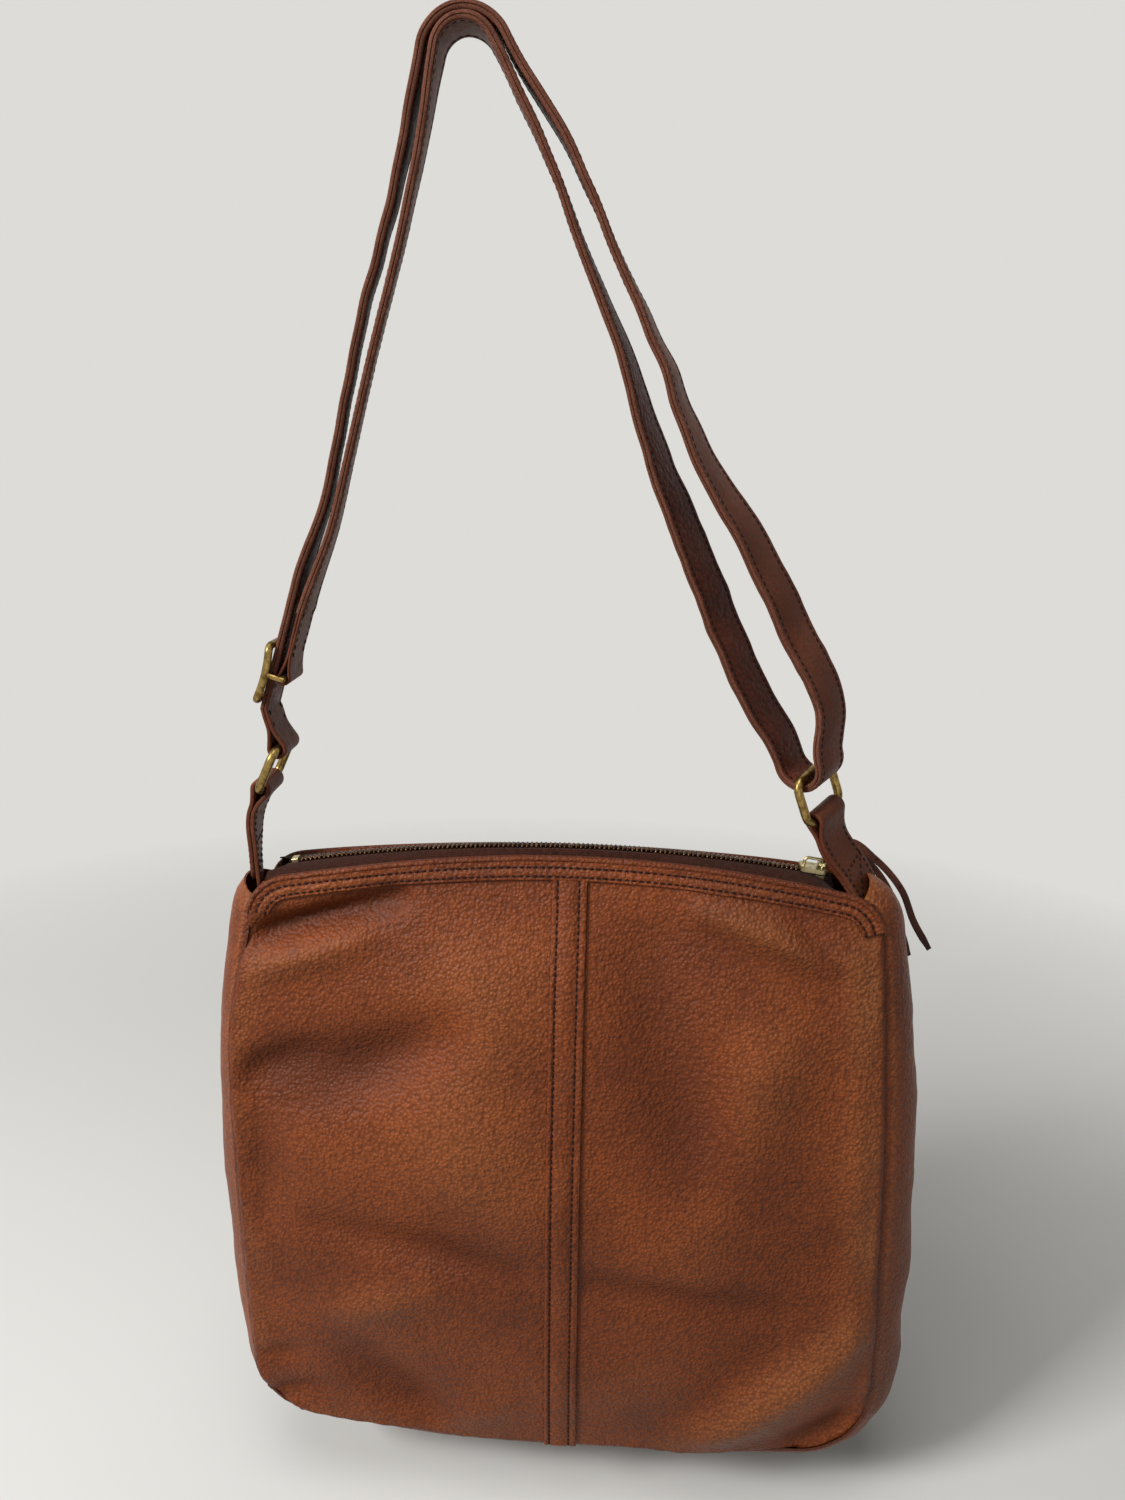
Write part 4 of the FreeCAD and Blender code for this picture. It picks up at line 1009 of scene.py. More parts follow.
@dataclass
class LeatherBody:
    """Panels, centre strip, bands, gusset and their stitching."""

    form: BagForm
    looks: Finishes
    stitches: StitchMaker
    strip_width: float = 16.0
    strip_thickness: float = 1.3
    band_width: float = 10.0
    band_thickness: float = 1.4
    band_end: float = 27.0
    gusset_end: float = 14.5
    left_end_drop: float = 8.0
    seam_start: float = 18.0
    seam_gap: float = 0.6
    pucker_size: float = 5.5
    pucker_height: float = 0.34
    pucker_reach: float = 9.0

    def panel_half(self, half: Half, inset: float, drop: float, step: float) -> Array:
        """A grid of front-view places over half a panel, row by row from the top."""
        top, flank, bottom = self.form.outline(inset, drop)
        across = crowded(float(along_path(top)[-1]), step, False, True)
        down = crowded(float(along_path(flank)[-1]), step, False, True)
        middle = np.array([top[0], bottom[-1]])
        grid = bridged(top, flank, bottom, middle, across, down)
        grid[..., 0] *= half.value
        return grid

    def seam_path(self) -> Array:
        """The side and bottom seam of the right-hand half, dense, in the front view."""
        trip = spaced(self.form.round_trip(), 1.0)
        return trip[trip[:, 1] < -self.seam_start]

    def panel_grid(
        self, halves: Sequence[Half], inset: float = 0.0, drop: float = 0.0, step: float = 2.1
    ) -> Array:
        """A grid over one half of a panel, or over both as one."""
        grids = [self.panel_half(half, inset, drop, step) for half in halves]
        return grids[0] if len(grids) == 1 else np.concatenate([grids[0][:, :0:-1], grids[1]], axis=1)

    def panel(self, name: str, halves: Sequence[Half], side: Side, thickness: float) -> Object:
        """A leather panel whose side and bottom edges roll in to the seam.

        Args:
            name: The piece's name.
            halves: One half for a split front, both for the back.
            side: The face of the bag.
            thickness: The leather's thickness.

        Returns:
            The panel.
        """
        grid = self.panel_grid(halves)
        flat = grid.reshape(-1, 2)
        seam = self.seam_path()
        near = closest(np.abs(flat) * [1, -1], seam)
        roll = self.form.seam_roll
        tuck = roll - np.sqrt(roll**2 - (roll - np.minimum(near, roll)) ** 2)
        x, z = flat[:, 0], flat[:, 1]
        free = self.form.slump(x, z, side)
        pucker = ripple(flat * [1.0, 0.55], self.pucker_size, 21 + side.value) * self.pucker_height
        pucker *= np.exp(-near / self.pucker_reach)
        outer = self.form.on_face(x, z, side, pucker - tuck)
        outer = self.form.settle(outer).reshape(*grid.shape[:2], 3)
        normals = grid_normals(outer)
        normals *= np.sign((normals[..., 1] * side.value).sum())
        inner = outer - normals * thickness
        points, faces = walled(outer, inner)
        handled = 0.25 + 0.6 * smooth(x, 60, 110) * smooth(z, -260, -160)
        edge_worn = np.exp(-(((near - 4) / 9.0) ** 2)) * handled
        rub = 0.5 * ripple(flat, 30.0, 31) + 0.5
        # Painted light and shade: fold ridges are painted lighter and dents darker, following the fold
        # height, as light falls on them.
        fold_painted_light_and_shade = np.where(free > 0, 0.07, 0.11) * free
        # The last term is painted shade: the leather is painted darker within about 2 mm of the seam, in its
        # valley. edge_worn is wear beside the seam.
        tone = np.clip(edge_worn * (0.3 + 0.7 * rub) + fold_painted_light_and_shade - 0.9 * np.exp(-((near / 2.0) ** 2)), -1, 1)
        return make_piece(name, points, faces, [self.looks.body], tone=np.tile(tone, 2))

    def trim(
        self,
        name: str,
        path: Array,
        profile: Sequence[Tuple[float, float]],
        side: Side,
        inward: float,
        tone: float,
    ) -> Object:
        """A band laid on the body's face beside a path.

        Args:
            name: The piece's name.
            path: Front-view places that the band follows.
            profile: Its section: how far in from the path, and how proud of the face.
            side: The face of the bag.
            inward: 1 if the band lies to the right of the path's run, -1 if to the left.
            tone: How much lighter or darker it is than its leather.

        Returns:
            The band.
        """
        rings = []
        for place, across in zip(path, beside(path, inward)):
            spots = place + np.array([across * a for a, _ in profile])
            rings.append(self.form.on_face(spots[:, 0], spots[:, 1], side, np.array([b for _, b in profile])))
        points, faces = tube(self.form.settle(np.array(rings)))
        high = max(b for _, b in profile)
        # Painted shade: the low parts of the section, its stitch grooves and its edges down at the face, are
        # painted darker.
        groove_painted_shade = np.tile([-1.2 * min(1.0, max(0.0, (high - b - 0.25) / 0.5)) for _, b in profile], len(path))
        wave = ripple(points[:, [0, 2]], 24.0, 41) * 0.18 + tone + groove_painted_shade
        return make_piece(name, points, faces, [self.looks.body], tone=np.clip(wave, -1, 1), crisp=60)

    def band_path(self, half: Half, step: float) -> Array:
        """The panel's top edge, from the middle to where the band runs out down the side."""
        trip = spaced(self.form.round_trip(), step)
        return trip[: int(np.argmax(trip[:, 1] < -self.band_end)) + 1] * [half.value, 1]

    def band(self, half: Half, side: Side) -> Tuple[Object, Object]:
        """Half of a top band and the bound edge above it."""
        path = self.band_path(half, 2.0)
        high, low = self.band_thickness + 0.1, 0.1
        wide = self.band_width
        profile = [
            (1.4, low), (1.4, high - 0.1), (3.0, high + 0.05), (4.3, high - 0.5), (5.3, high + 0.1),
            (6.9, high + 0.25), (8.1, high - 0.35), (9.0, high + 0.12), (wide - 0.3, high - 0.15),
            (wide, high - 0.75), (wide - 0.1, low + 0.15), (wide - 0.6, low),
        ]
        tag = f"{side.name.lower()}_{half.name.lower()}"
        band = self.trim(f"top_band_{tag}", path, profile, side, half.value, 0.05)
        turns = np.linspace(0, 2 * pi, 12, endpoint=False)
        bead = [(0.55 + 1.35 * cos(t), 0.55 - 1.55 * sin(t)) for t in turns]
        bound = self.trim(f"bound_edge_{tag}", path, bead, side, half.value, -0.45)
        return band, bound

    def band_rows(self, half: Half, side: Side) -> List[Tuple[Array, Array]]:
        """Paths of the two stitch rows on half a band."""
        path = self.band_path(half, 1.5)
        normal = beside(path, half.value)
        rows = []
        for across, proud in ((4.3, 1.2), (8.1, 1.32)):
            spots = path + normal * across
            line = self.form.on_face(spots[:, 0], spots[:, 1], side, proud)
            rows.append((self.form.settle(line), np.array([0.0, side.value, 0.15])))
        return rows

    def strip(self) -> Object:
        """The raised centre strip, from under the band to the bottom seam."""
        top = float(self.form.zip_height(0.0, self.form.tape_show + self.band_width - 0.4))
        z = np.arange(top, -self.form.height + 0.6, -2.0)
        path = np.stack([np.zeros_like(z), z], axis=1)
        half, high = self.strip_width / 2, self.strip_thickness + 0.1
        profile = [
            (-half, 0.1), (-half - 0.05, high - 0.5), (-half + 0.5, high), (-half + 1.6, high + 0.1),
            (-half + 2.6, high - 0.5), (-half + 3.6, high + 0.1), (0.0, high + 0.28),
            (half - 5.0, high + 0.1), (half - 3.8, high - 0.5), (half - 2.8, high + 0.12),
            (half - 0.6, high + 0.12), (half, high - 0.4), (half, 0.1),
        ]
        return self.trim("centre_strip", path, profile, Side.FRONT, -1.0, 0.02)

    def strip_rows(self) -> List[Tuple[Array, Array]]:
        """Paths of the two stitch rows on the centre strip."""
        top = float(self.form.zip_height(0.0, self.form.tape_show + self.band_width + 1.0))
        z = np.arange(top, -self.form.height + 2.0, -1.5)
        rows = []
        for x in (-self.strip_width / 2 + 2.6, self.strip_width / 2 - 3.8):
            line = self.form.on_face(np.full_like(z, x), z, Side.FRONT, self.strip_thickness - 0.2)
            rows.append((self.form.settle(line), np.array([0.0, -1.0, 0.0])))
        return rows

    def gusset_grid(
        self, inward: float, narrower: float, end: float, columns: int, lively: bool
    ) -> Tuple[Array, Array]:
        """The strip round the sides and bottom, from the left-hand top to the right-hand top.

        Args:
            inward: How far inside the outer face the grid lies.
            narrower: How much it is drawn in at each seam.
            end: How far below the zip its two ends stop.
            columns: How many points it has from seam to seam.
            lively: Whether it has the leather's folds.

        Returns:
            The grid of points, and how far along the strip each row is.
        """
        form = self.form
        half_trip = spaced(form.round_trip(), 2.6 if lively else 5.0)
        left_trip = half_trip[half_trip[:, 1] < -end - (self.left_end_drop if lively else 0.0)]
        half_trip = half_trip[half_trip[:, 1] < -end]
        trip = np.concatenate([left_trip * [-1, 1], half_trip[-2::-1]])
        outward = beside(trip, -1)
        centre = np.array([0.0, -form.height / 2])
        outward *= np.sign(((trip - centre) * outward).sum(axis=1))[:, None]
        half = form.seam_depth(trip[:, 1]) - form.leather - self.seam_gap - narrower
        swell = form.swell(trip[:, 1]) - form.left_lean(trip[:, 0], trip[:, 1])
        length = along_path(trip)
        share = np.linspace(-1, 1, columns)
        ease = np.sin(share * pi / 2) * 0.35 + share * 0.65
        radius = (half**2 + swell**2) / (2 * swell)
        y = ease[None, :] * half[:, None]
        rise = np.sqrt(np.maximum(radius[:, None] ** 2 - y**2, 0)) - (radius - swell)[:, None] - inward
        if lively:
            where = np.stack(np.broadcast_arrays(length[:, None], y), axis=-1).reshape(-1, 2)
            held = 1 - ease**2
            lumps = ripple(where * [1.0, 0.6], 26.0, 51).reshape(y.shape)
            small = ripple(where * [1.0, 0.45], 7.0, 52).reshape(y.shape)
            rise = rise + held[None, :] * lumps + (0.25 + held[None, :]) * small * 0.16
            crown = smooth(np.abs(trip[:, 0]), 96, 128) * smooth(-trip[:, 1], 262, 292)
            pinch = ripple(where * [1.0, 0.3], 9.0, 53).reshape(y.shape)
            rise = rise + crown[:, None] * pinch * 1.1 * (0.3 + held[None, :])
            from_end = np.minimum(length, length[-1] - length)
            shut = np.exp(-((from_end / 8.0) ** 2))
            rise = rise - shut[:, None] * held[None, :] * 1.2
        points = np.empty((*y.shape, 3))
        points[..., 0] = trip[:, None, 0] + outward[:, None, 0] * rise
        points[..., 1] = y
        points[..., 2] = trip[:, None, 1] + outward[:, None, 1] * rise
        return points, length

    def gusset(self) -> Object:
        """The gusset, with soft turned edges at its two open ends."""
        outer, length = self.gusset_grid(0.0, 0.0, self.gusset_end, 25, True)
        inner, _ = self.gusset_grid(self.form.leather, 0.0, self.gusset_end, 25, True)
        for row in (0, 1, -1):
            outer[row] = outer[row] * 0.62 + inner[row] * 0.38
        points, faces = self.form.shell(outer, inner)
        across = np.abs(np.linspace(-1, 1, outer.shape[1]))
        end = np.minimum(length, length[-1] - length)
        # Painted shade: the gusset is painted dark along the very seam. A lighter band runs just inside it,
        # and the open ends are lighter too.
        tone = 0.35 * np.exp(-(((across - 0.93) / 0.06) ** 2))[None, :] - 0.95 * (across > 0.985)[None, :]
        tone = tone + (0.4 * np.exp(-((end / 7) ** 2)))[:, None]
        tone = np.clip(tone, -1, 1).reshape(-1)
        return make_piece("gusset_leather", points, faces, [self.looks.body], tone=np.tile(tone, 2), crisp=60)

    def build(self) -> None:
        """Builds the pieces, dresses them and joins them to their bodies."""
        form = self.form
        for half in Half:
            tag = half.name.lower()
            panel = self.panel(f"front_leather_{tag}", [half], Side.FRONT, form.leather - 0.1)
            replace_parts(panel, f"front_panel_{tag}")
            form.open_with_mouth(panel, half)
            for side in Side:
                where = side.name.lower()
                band, bound = self.band(half, side)
                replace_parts(band, f"{where}_top_band")
                rows = self.stitches.make(f"{where}_band_stitches_{tag}", self.band_rows(half, side))
                for piece in (band, bound, rows):
                    if side is Side.FRONT:
                        form.open_with_mouth(piece, half)
                    else:
                        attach(piece, "bag")
            LOG.info("%s half: front panel, bands, bound edges and stitches", tag)
        back = self.panel("back_leather", [Half.LEFT, Half.RIGHT], Side.BACK, form.leather - 0.1)
        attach(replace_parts(back, "back_panel"), "bag")
        gusset = self.gusset()
        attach(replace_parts(gusset, "gusset"), "bag")
        strip = self.strip()
        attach(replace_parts(strip, "front_centre_strip"), "bag_front")
        rows = self.stitches.make("centre_strip_stitches", self.strip_rows())
        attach(rows, "bag_front")
        LOG.info("back panel, gusset and centre strip")


# ------------------ lining


@dataclass
class Lining:
    """Cloth lining of the panels and the gusset, and the slip pocket on the back."""

    form: BagForm
    body: LeatherBody
    looks: Finishes
    inset: float = 2.5
    drop: float = 11.0
    cloth: float = 0.6
    gusset_end: float = 52.0
    pocket_width: float = 150.0
    pocket_height: float = 105.0
    pocket_top: float = 95.0
    pocket_room: float = 2.0
    front_cut: Tuple[float, float] = (0.145, 0.296)
    back_cut: Tuple[float, float] = (0.290, 0.296)
    gusset_cut: Tuple[float, float] = (0.064, 0.790)
    pocket_cut: Tuple[float, float] = (0.150, 0.105)

    def wall(self, name: str, halves: Sequence[Half], side: Side) -> Object:
        """Half or all of the lining behind a panel."""
        grid = self.body.panel_grid(halves, self.inset, self.drop, 4.0)
        x, z = grid[..., 0], grid[..., 1]
        inside = -(self.form.leather + 0.35)
        outer = self.form.on_face(x, z, side, inside)
        inner = self.form.on_face(x, z, side, inside - self.cloth)
        points, faces = self.form.shell(outer, inner)
        return make_piece(name, points, faces, [self.looks.cloth], fabric=points[:, [0, 2]])

    def gusset(self) -> Object:
        """The lining round the sides and bottom."""
        inside = self.form.leather + 0.1
        outer, length = self.body.gusset_grid(inside, inside + self.cloth, self.gusset_end, 11, False)
        inner, _ = self.body.gusset_grid(inside + self.cloth, inside + self.cloth, self.gusset_end, 11, False)
        points, faces = self.form.shell(outer, inner)
        flat = np.stack(np.broadcast_arrays(length[:, None], outer[..., 1]), axis=-1).reshape(-1, 2)
        flat = np.tile(flat, (2, 1))
        return make_piece("lining_round_gusset", points, faces, [self.looks.cloth], fabric=flat)

    def pocket(self) -> Object:
        """The open slip pocket, its mouth a little slack."""
        half = self.pocket_width / 2
        x = np.linspace(-half, half, 41)
        z = np.linspace(-self.pocket_top, -self.pocket_top - self.pocket_height, 31)
        x, z = np.meshgrid(x, z)
        edge = np.minimum(half - np.abs(x), z + self.pocket_top + self.pocket_height)
        slack = self.pocket_room * smooth(edge, 0.0, 12.0)
        base = -(self.form.leather + 0.35 + self.cloth + 0.15)
        front = self.form.on_face(x, z, Side.BACK, base - slack)
        back = self.form.on_face(x, z, Side.BACK, base - slack - self.cloth)
        points, faces = self.form.shell(front, back)
        return make_piece("slip_pocket", points, faces, [self.looks.cloth], fabric=points[:, [0, 2]])

    def build(self) -> None:
        """Builds the lining and joins it to its bodies."""
        for half in Half:
            piece = self.wall(f"front_lining_{half.name.lower()}", [half], Side.FRONT)
            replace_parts(piece, "lining_front")
            self.form.open_with_mouth(piece, half)
        back = self.wall("back_lining", [Half.LEFT, Half.RIGHT], Side.BACK)
        pieces = (
            (back, "lining_back", self.back_cut, "zip_tape_back"),
            (self.gusset(), "lining_gusset", self.gusset_cut, "gusset"),
            (self.pocket(), "inner_pocket", self.pocket_cut, "lining_back"),
        )
        for piece, node, cut, holder in pieces:
            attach(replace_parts(piece, node), "bag")
        LOG.info("lining and slip pocket")


# ------------------ zip


@dataclass
class Zip:
    """Tapes and teeth of the zip."""

    form: BagForm
    looks: Finishes
    left: float = 131.0
    right: float = 117.0
    teeth_left: float = 124.0
    teeth_right: float = 111.0
    tape: float = 0.6
    sewn: float = 8.0
    chain_half: float = 2.6
    pitch: float = 2.1
    tooth_width: float = 1.15
    tooth_height: float = 1.9
    overlap: float = 0.7

    def tape_piece(self, name: str, side: Side, x: Array) -> Object:
        """A stretch of one woven tape: flat beside the teeth, then down behind the band.

        The edge that carries the teeth keeps to the arc the slider runs on; the rest follows the leather.
        """
        form = self.form
        low_x = x[:, None]
        inside = form.leather + 0.6
        start = np.full_like(low_x, 0.9)
        flat = np.full_like(low_x, self.chain_half + 1.3)
        edge_z = form.zip_height(low_x, form.tape_show + 1)
        low_z = edge_z - self.sewn
        dip = 7.0 * np.clip((low_x - 106.0) / 13.0, 0, 1) ** 2
        line_z = form.zip_height(low_x) - dip
        top_y = np.maximum(form.plain_depth(low_x, edge_z) - inside, flat)
        low_y = np.maximum(form.plain_depth(low_x, low_z) - inside, flat)
        y = np.concatenate([start, flat, (flat + top_y) / 2 + 0.1, top_y, low_y], axis=1)
        z = np.concatenate(
            [line_z - 0.5, line_z - 0.15, (line_z + edge_z) / 2 + 0.25, edge_z, low_z], axis=1
        )
        outer = np.stack([np.broadcast_to(low_x, y.shape), side.value * y, z], axis=-1)
        normals = grid_normals(outer)
        normals *= np.sign(normals[..., 2].sum())
        inner = outer - normals * self.tape
        settled = [form.settle(layer) for layer in (outer, inner)]
        for layer, kept in zip(settled, (outer, inner)):
            layer[:, :2] = kept[:, :2]
        points, faces = walled(*settled)
        steps = np.hypot(np.diff(y), np.diff(z))
        run = np.concatenate([np.zeros((len(x), 1)), np.cumsum(steps, axis=1)], axis=1)
        cloth = np.stack([np.broadcast_to(low_x, y.shape), run], axis=-1).reshape(-1, 2)
        return make_piece(name, points, faces, [self.looks.tape], fabric=np.tile(cloth, (2, 1)), crisp=50)

    def tooth_tree(self) -> NodeTree:
        """Geometry Nodes that stand softened blocks along the zip."""
        sizes = {"Pitch": 0.002, "Width": 0.001, "Reach": 0.003, "Height": 0.002}
        grow = GrowTree("teeth_along_a_zip", sizes)
        size = {"Size": grow.size("Width", "Reach", "Height")}
        block = add_node(grow.tree, "GeometryNodeMeshCube", links=size)
        round_by, form = {"Level": 1, "Edge Crease": 0.4}, {0: block.outputs[0]}
        soft = add_node(grow.tree, "GeometryNodeSubdivisionSurface", values=round_by, links=form)
        return grow.finish(soft.outputs[0])

    def teeth(self, name: str, tree: NodeTree, side: Side, low: float, high: float) -> Object:
        """A stretch of one row of teeth."""
        reach = self.chain_half + self.overlap
        x = np.linspace(low, high, 60)
        z = self.form.zip_height(x) + 0.1
        y = np.full_like(x, side.value * (self.chain_half - reach / 2))
        line = np.stack([x, y, z], axis=1)
        up = unit(np.stack([x, np.zeros_like(x), z + self.form.zip_radius], axis=1))
        sizes = {
            "Pitch": self.pitch * 0.001,
            "Width": self.tooth_width * 0.001,
            "Reach": reach * 0.001,
            "Height": self.tooth_height * 0.001,
            "Material": self.looks.coil,
        }
        return grown(name, path_mesh(name, [(line, up)]), tree, sizes)

    def build(self) -> None:
        """Builds the zip and joins it to its bodies."""
        tree = self.tooth_tree()
        for half, x, low, high in (
            (Half.LEFT, np.linspace(-self.left, 0.0, 50), -self.teeth_left, -self.pitch / 2),
            (Half.RIGHT, np.linspace(0.0, self.right + 2.0, 46), 0.0, self.teeth_right),
        ):
            tag = half.name.lower()
            tape = self.tape_piece(f"front_zip_tape_{tag}", Side.FRONT, x)
            teeth = self.teeth(f"front_zip_teeth_{tag}", tree, Side.FRONT, low, high)
            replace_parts(tape, "zip_tape_front")
            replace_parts(teeth, "zip_teeth_front")
            self.form.open_with_mouth(tape, half)
            self.form.open_with_mouth(teeth, half)
        back = self.tape_piece("back_zip_tape", Side.BACK, np.linspace(-self.left, self.right + 2.0, 95))
        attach(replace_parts(back, "zip_tape_back"), "bag")
        shift = self.pitch / 2
        low, high = -self.teeth_left + shift, self.teeth_right + shift
        row = self.teeth("back_zip_teeth", tree, Side.BACK, low, high)
        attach(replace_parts(row, "zip_teeth_back"), "bag")
        LOG.info("zip tapes and teeth")


# ------------------ strap, tabs and hardware


@dataclass
class Run:
    """A strap's centreline with the directions of its width and its face at each point."""

    centre: Array
    wide: Array
    face: Array

    @staticmethod
    def joined(parts: Sequence["Run"]) -> "Run":
        """Several runs end to end, without doubled points."""
        centre, wide, face = parts[0].centre, parts[0].wide, parts[0].face
        for part in parts[1:]:
            skip = 1 if np.linalg.norm(part.centre[0] - centre[-1]) < 0.6 else 0
            centre = np.concatenate([centre, part.centre[skip:]])
            wide = np.concatenate([wide, part.wide[skip:]])
            face = np.concatenate([face, part.face[skip:]])
        return Run(centre, wide, face)

    def reversed(self) -> "Run":
        """The same run the other way, its face kept."""
        return Run(self.centre[::-1], self.wide[::-1], self.face[::-1])

    def rings(self, profile: Array, narrow: Optional[Array] = None) -> Array:
        """The profile's points carried along the run."""
        across = np.broadcast_to(profile[None, :, 0], (len(self.centre), len(profile)))
        if narrow is not None:
            across = across * narrow[:, None]
        return (
            self.centre[:, None, :]
            + self.wide[:, None, :] * across[..., None]
            + self.face[:, None, :] * profile[None, :, 1, None]
        )

    def line(
        self, across: float, proud: float, first: int = 0, last: Optional[int] = None
    ) -> Tuple[Array, Array]:
        """A stitch path on the run, and the way it faces."""
        span = slice(first, last)
        points = self.centre[span] + self.wide[span] * across + self.face[span] * proud
        return points, self.face[span] * np.sign(proud)


def twisted(
    stations: Sequence[Sequence[float]], first: Array, last: Array, sense: int, step: float = 2.2
) -> Run:
    """A run through stations of x, y, z and twist.

    Args:
        stations: Places and the twist of the face there, in degrees.
        first: Direction of travel at the start.
        last: Direction of travel at the end.
        sense: 1 if the run travels up, -1 if it travels down.
        step: Distance from point to point.

    Returns:
        The run.
    """
    dense = spline(np.array(stations, float), first, last, step)
    centre, twist = dense[:, :3], np.radians(dense[:, 3]) * sense
    travel = unit(np.gradient(centre, axis=0))
    travel[0], travel[-1] = unit(first), unit(last)
    flat = unit(Y_AXIS - travel * (travel @ Y_AXIS)[:, None])
    face = np.cross(flat, travel)
    c, s = np.cos(twist)[:, None], np.sin(twist)[:, None]
    return Run(centre, flat * c + face * s, face * c - flat * s)


def leg(
    start: Array,
    route: Route,
    end: Array,
    first: Array,
    last: Array,
    sense: int,
    twists: Tuple[float, float] = (0, 0),
) -> Run:
    """A twisted run from one place through a route's stations to another.

    Args:
        start: The first place.
        route: The stations between, of x, y, z and twist.
        end: The last place.
        first: Direction of travel at the start.
        last: Direction of travel at the end.
        sense: 1 if the run travels up, -1 if it travels down.
        twists: Twist of the face at the two places, in degrees.

    Returns:
        The run.
    """
    return twisted([(*start, twists[0]), *route, (*end, twists[1])], first, last, sense)


def bend_run(
    centre: Array, arm: Array, other: Array, radius: float, start: float, end: float, wide: Array
) -> Run:
    """A run round part of a circle, its face towards the centre."""
    count = max(8, int(abs(end - start) * radius / 1.6))
    turns = np.linspace(start, end, count)[:, None]
    out = np.cos(turns) * arm + np.sin(turns) * other
    return Run(centre + out * radius, np.broadcast_to(wide, out.shape).copy(), -out)


def ply_profile(width: float, thickness: float, round_by: float = 0.45) -> Array:
    """The section of one ply with softened corners, anticlockwise."""
    w, t, r = width / 2, thickness / 2, min(round_by, thickness * 0.45)
    below = [(-w + r, -t), (-w + 2.5, -t), (0, -t), (w - 2.5, -t), (w - r, -t), (w - 0.3 * r, -t + 0.3 * r)]
    above = [(w - 0.3 * r, t - 0.3 * r), (w - r, t), (w - 2.5, t), (0, t), (-w + 2.5, t), (-w + r, t)]
    left = [(-w + 0.3 * r, t - 0.3 * r), (-w, t - r), (-w, -t + r), (-w + 0.3 * r, -t + 0.3 * r)]
    return np.array([*below, (w, -t + r), (w, t - r), *above, *left])


def doubled_profile(width: float, thickness: float) -> Tuple[Array, List[int]]:
    """The section of two sewn plies with a groove between them at each edge.

    Returns:
        The points, and 0 for the smooth ply's faces, 1 for the pebbled ply's and 2 for cut edges.
    """
    w, t = width / 2, thickness / 2
    side = [(w - 0.5, -t, 2), (w, -t + 0.45, 2), (w, -0.3, 2), (w - 0.55, 0.0, 2), (w - 0.05, 0.3, 2)]
    side += [(w - 0.1, t - 0.45, 2)]
    far = [(w - 0.6, t, 1), (w - 1.6, t + 0.05, 1), (w - 2.4, t - 0.2, 1), (w - 3.4, t + 0.02, 1)]
    far += [(0, t + 0.12, 1)]
    points = side + far
    points += [(-x, b, 1) for x, b, _ in reversed(far[1:-1])]
    points += [(-(w - 0.6), t, 2), (-(w - 0.1), t - 0.45, 2), (-(w - 0.05), 0.3, 2), (-(w - 0.55), 0.0, 2)]
    points += [(-w, -0.3, 2), (-w, -t + 0.45, 2), (-(w - 0.5), -t, 0)]
    near = [(-(w - 1.6), -t - 0.05), (-(w - 2.4), -t + 0.2), (-(w - 3.4), -t - 0.02), (0, -t - 0.12)]
    points += [(x, b, 0) for x, b in near] + [(-x, b, 0) for x, b in reversed(near[:-1])]
    return np.array([(x, b) for x, b, _ in points]), [s for _, _, s in points]


@dataclass
class Fittings:
    """Where the strap's hardware hangs, in millimetres."""

    left_pivot: Array = field(default_factory=lambda: np.array([-138.5, 0.0, 25.4]))
    right_pivot: Array = field(default_factory=lambda: np.array([111.7, 0.0, 19.4]))
    pull_point: float = 330.0
    ring_room: float = 24.0
    ring_wire: float = 1.95
    ring_pitch: float = 20.6
    ring_corner: float = 5.0
    ring_fit: float = 0.8
    right_twist: float = 40.0
    adjuster: Array = field(default_factory=lambda: np.array([-130.0, 0.0, 77.5]))
    adjuster_tilt: float = 17.0
    strap_width: float = 20.0
    strap_thickness: float = 3.3
    bar: float = 1.5
    bar_ply: float = 1.2
    fit: float = 0.35

    def hang(self, pivot: Array, twist: float) -> Tuple[Array, Array, Array]:
        """Across, along and up directions of a ring."""
        up = unit(np.array([0.0, 0.0, self.pull_point]) - pivot)
        face = np.cross(Y_AXIS, up)
        c, s = cos(radians(twist)), sin(radians(twist))
        return face * c - Y_AXIS * s, Y_AXIS * c + face * s, up

    def bar_x(self) -> float:
        """Place of the adjuster's bar on the way out from the strap's middle; it lies behind it."""
        return -(self.strap_thickness / 2 + self.fit + self.bar_ply + self.fit + self.bar)

    def adjuster_axes(self) -> Tuple[Array, Array]:
        """Outward and up directions of the adjuster."""
        t = radians(self.adjuster_tilt)
        return np.array([-cos(t), 0.0, sin(t)]), np.array([sin(t), 0.0, cos(t)])


def rounded_loop(reach: float, low: float, high: float, radius: float, count: int, step: float) -> Array:
    """A closed rectangle with round corners, its corner centres at plus and minus reach, low and high."""
    flat: List[Tuple[float, float]] = []
    for x, z, start in ((reach, high, 0.0), (-reach, high, 90.0), (-reach, low, 180.0), (reach, low, 270.0)):
        for turn in np.radians(np.linspace(start, start + 90, count)):
            flat.append((x + radius * cos(turn), z + radius * sin(turn)))
    return spaced(np.array(flat + flat[:1]), step)[:-1]


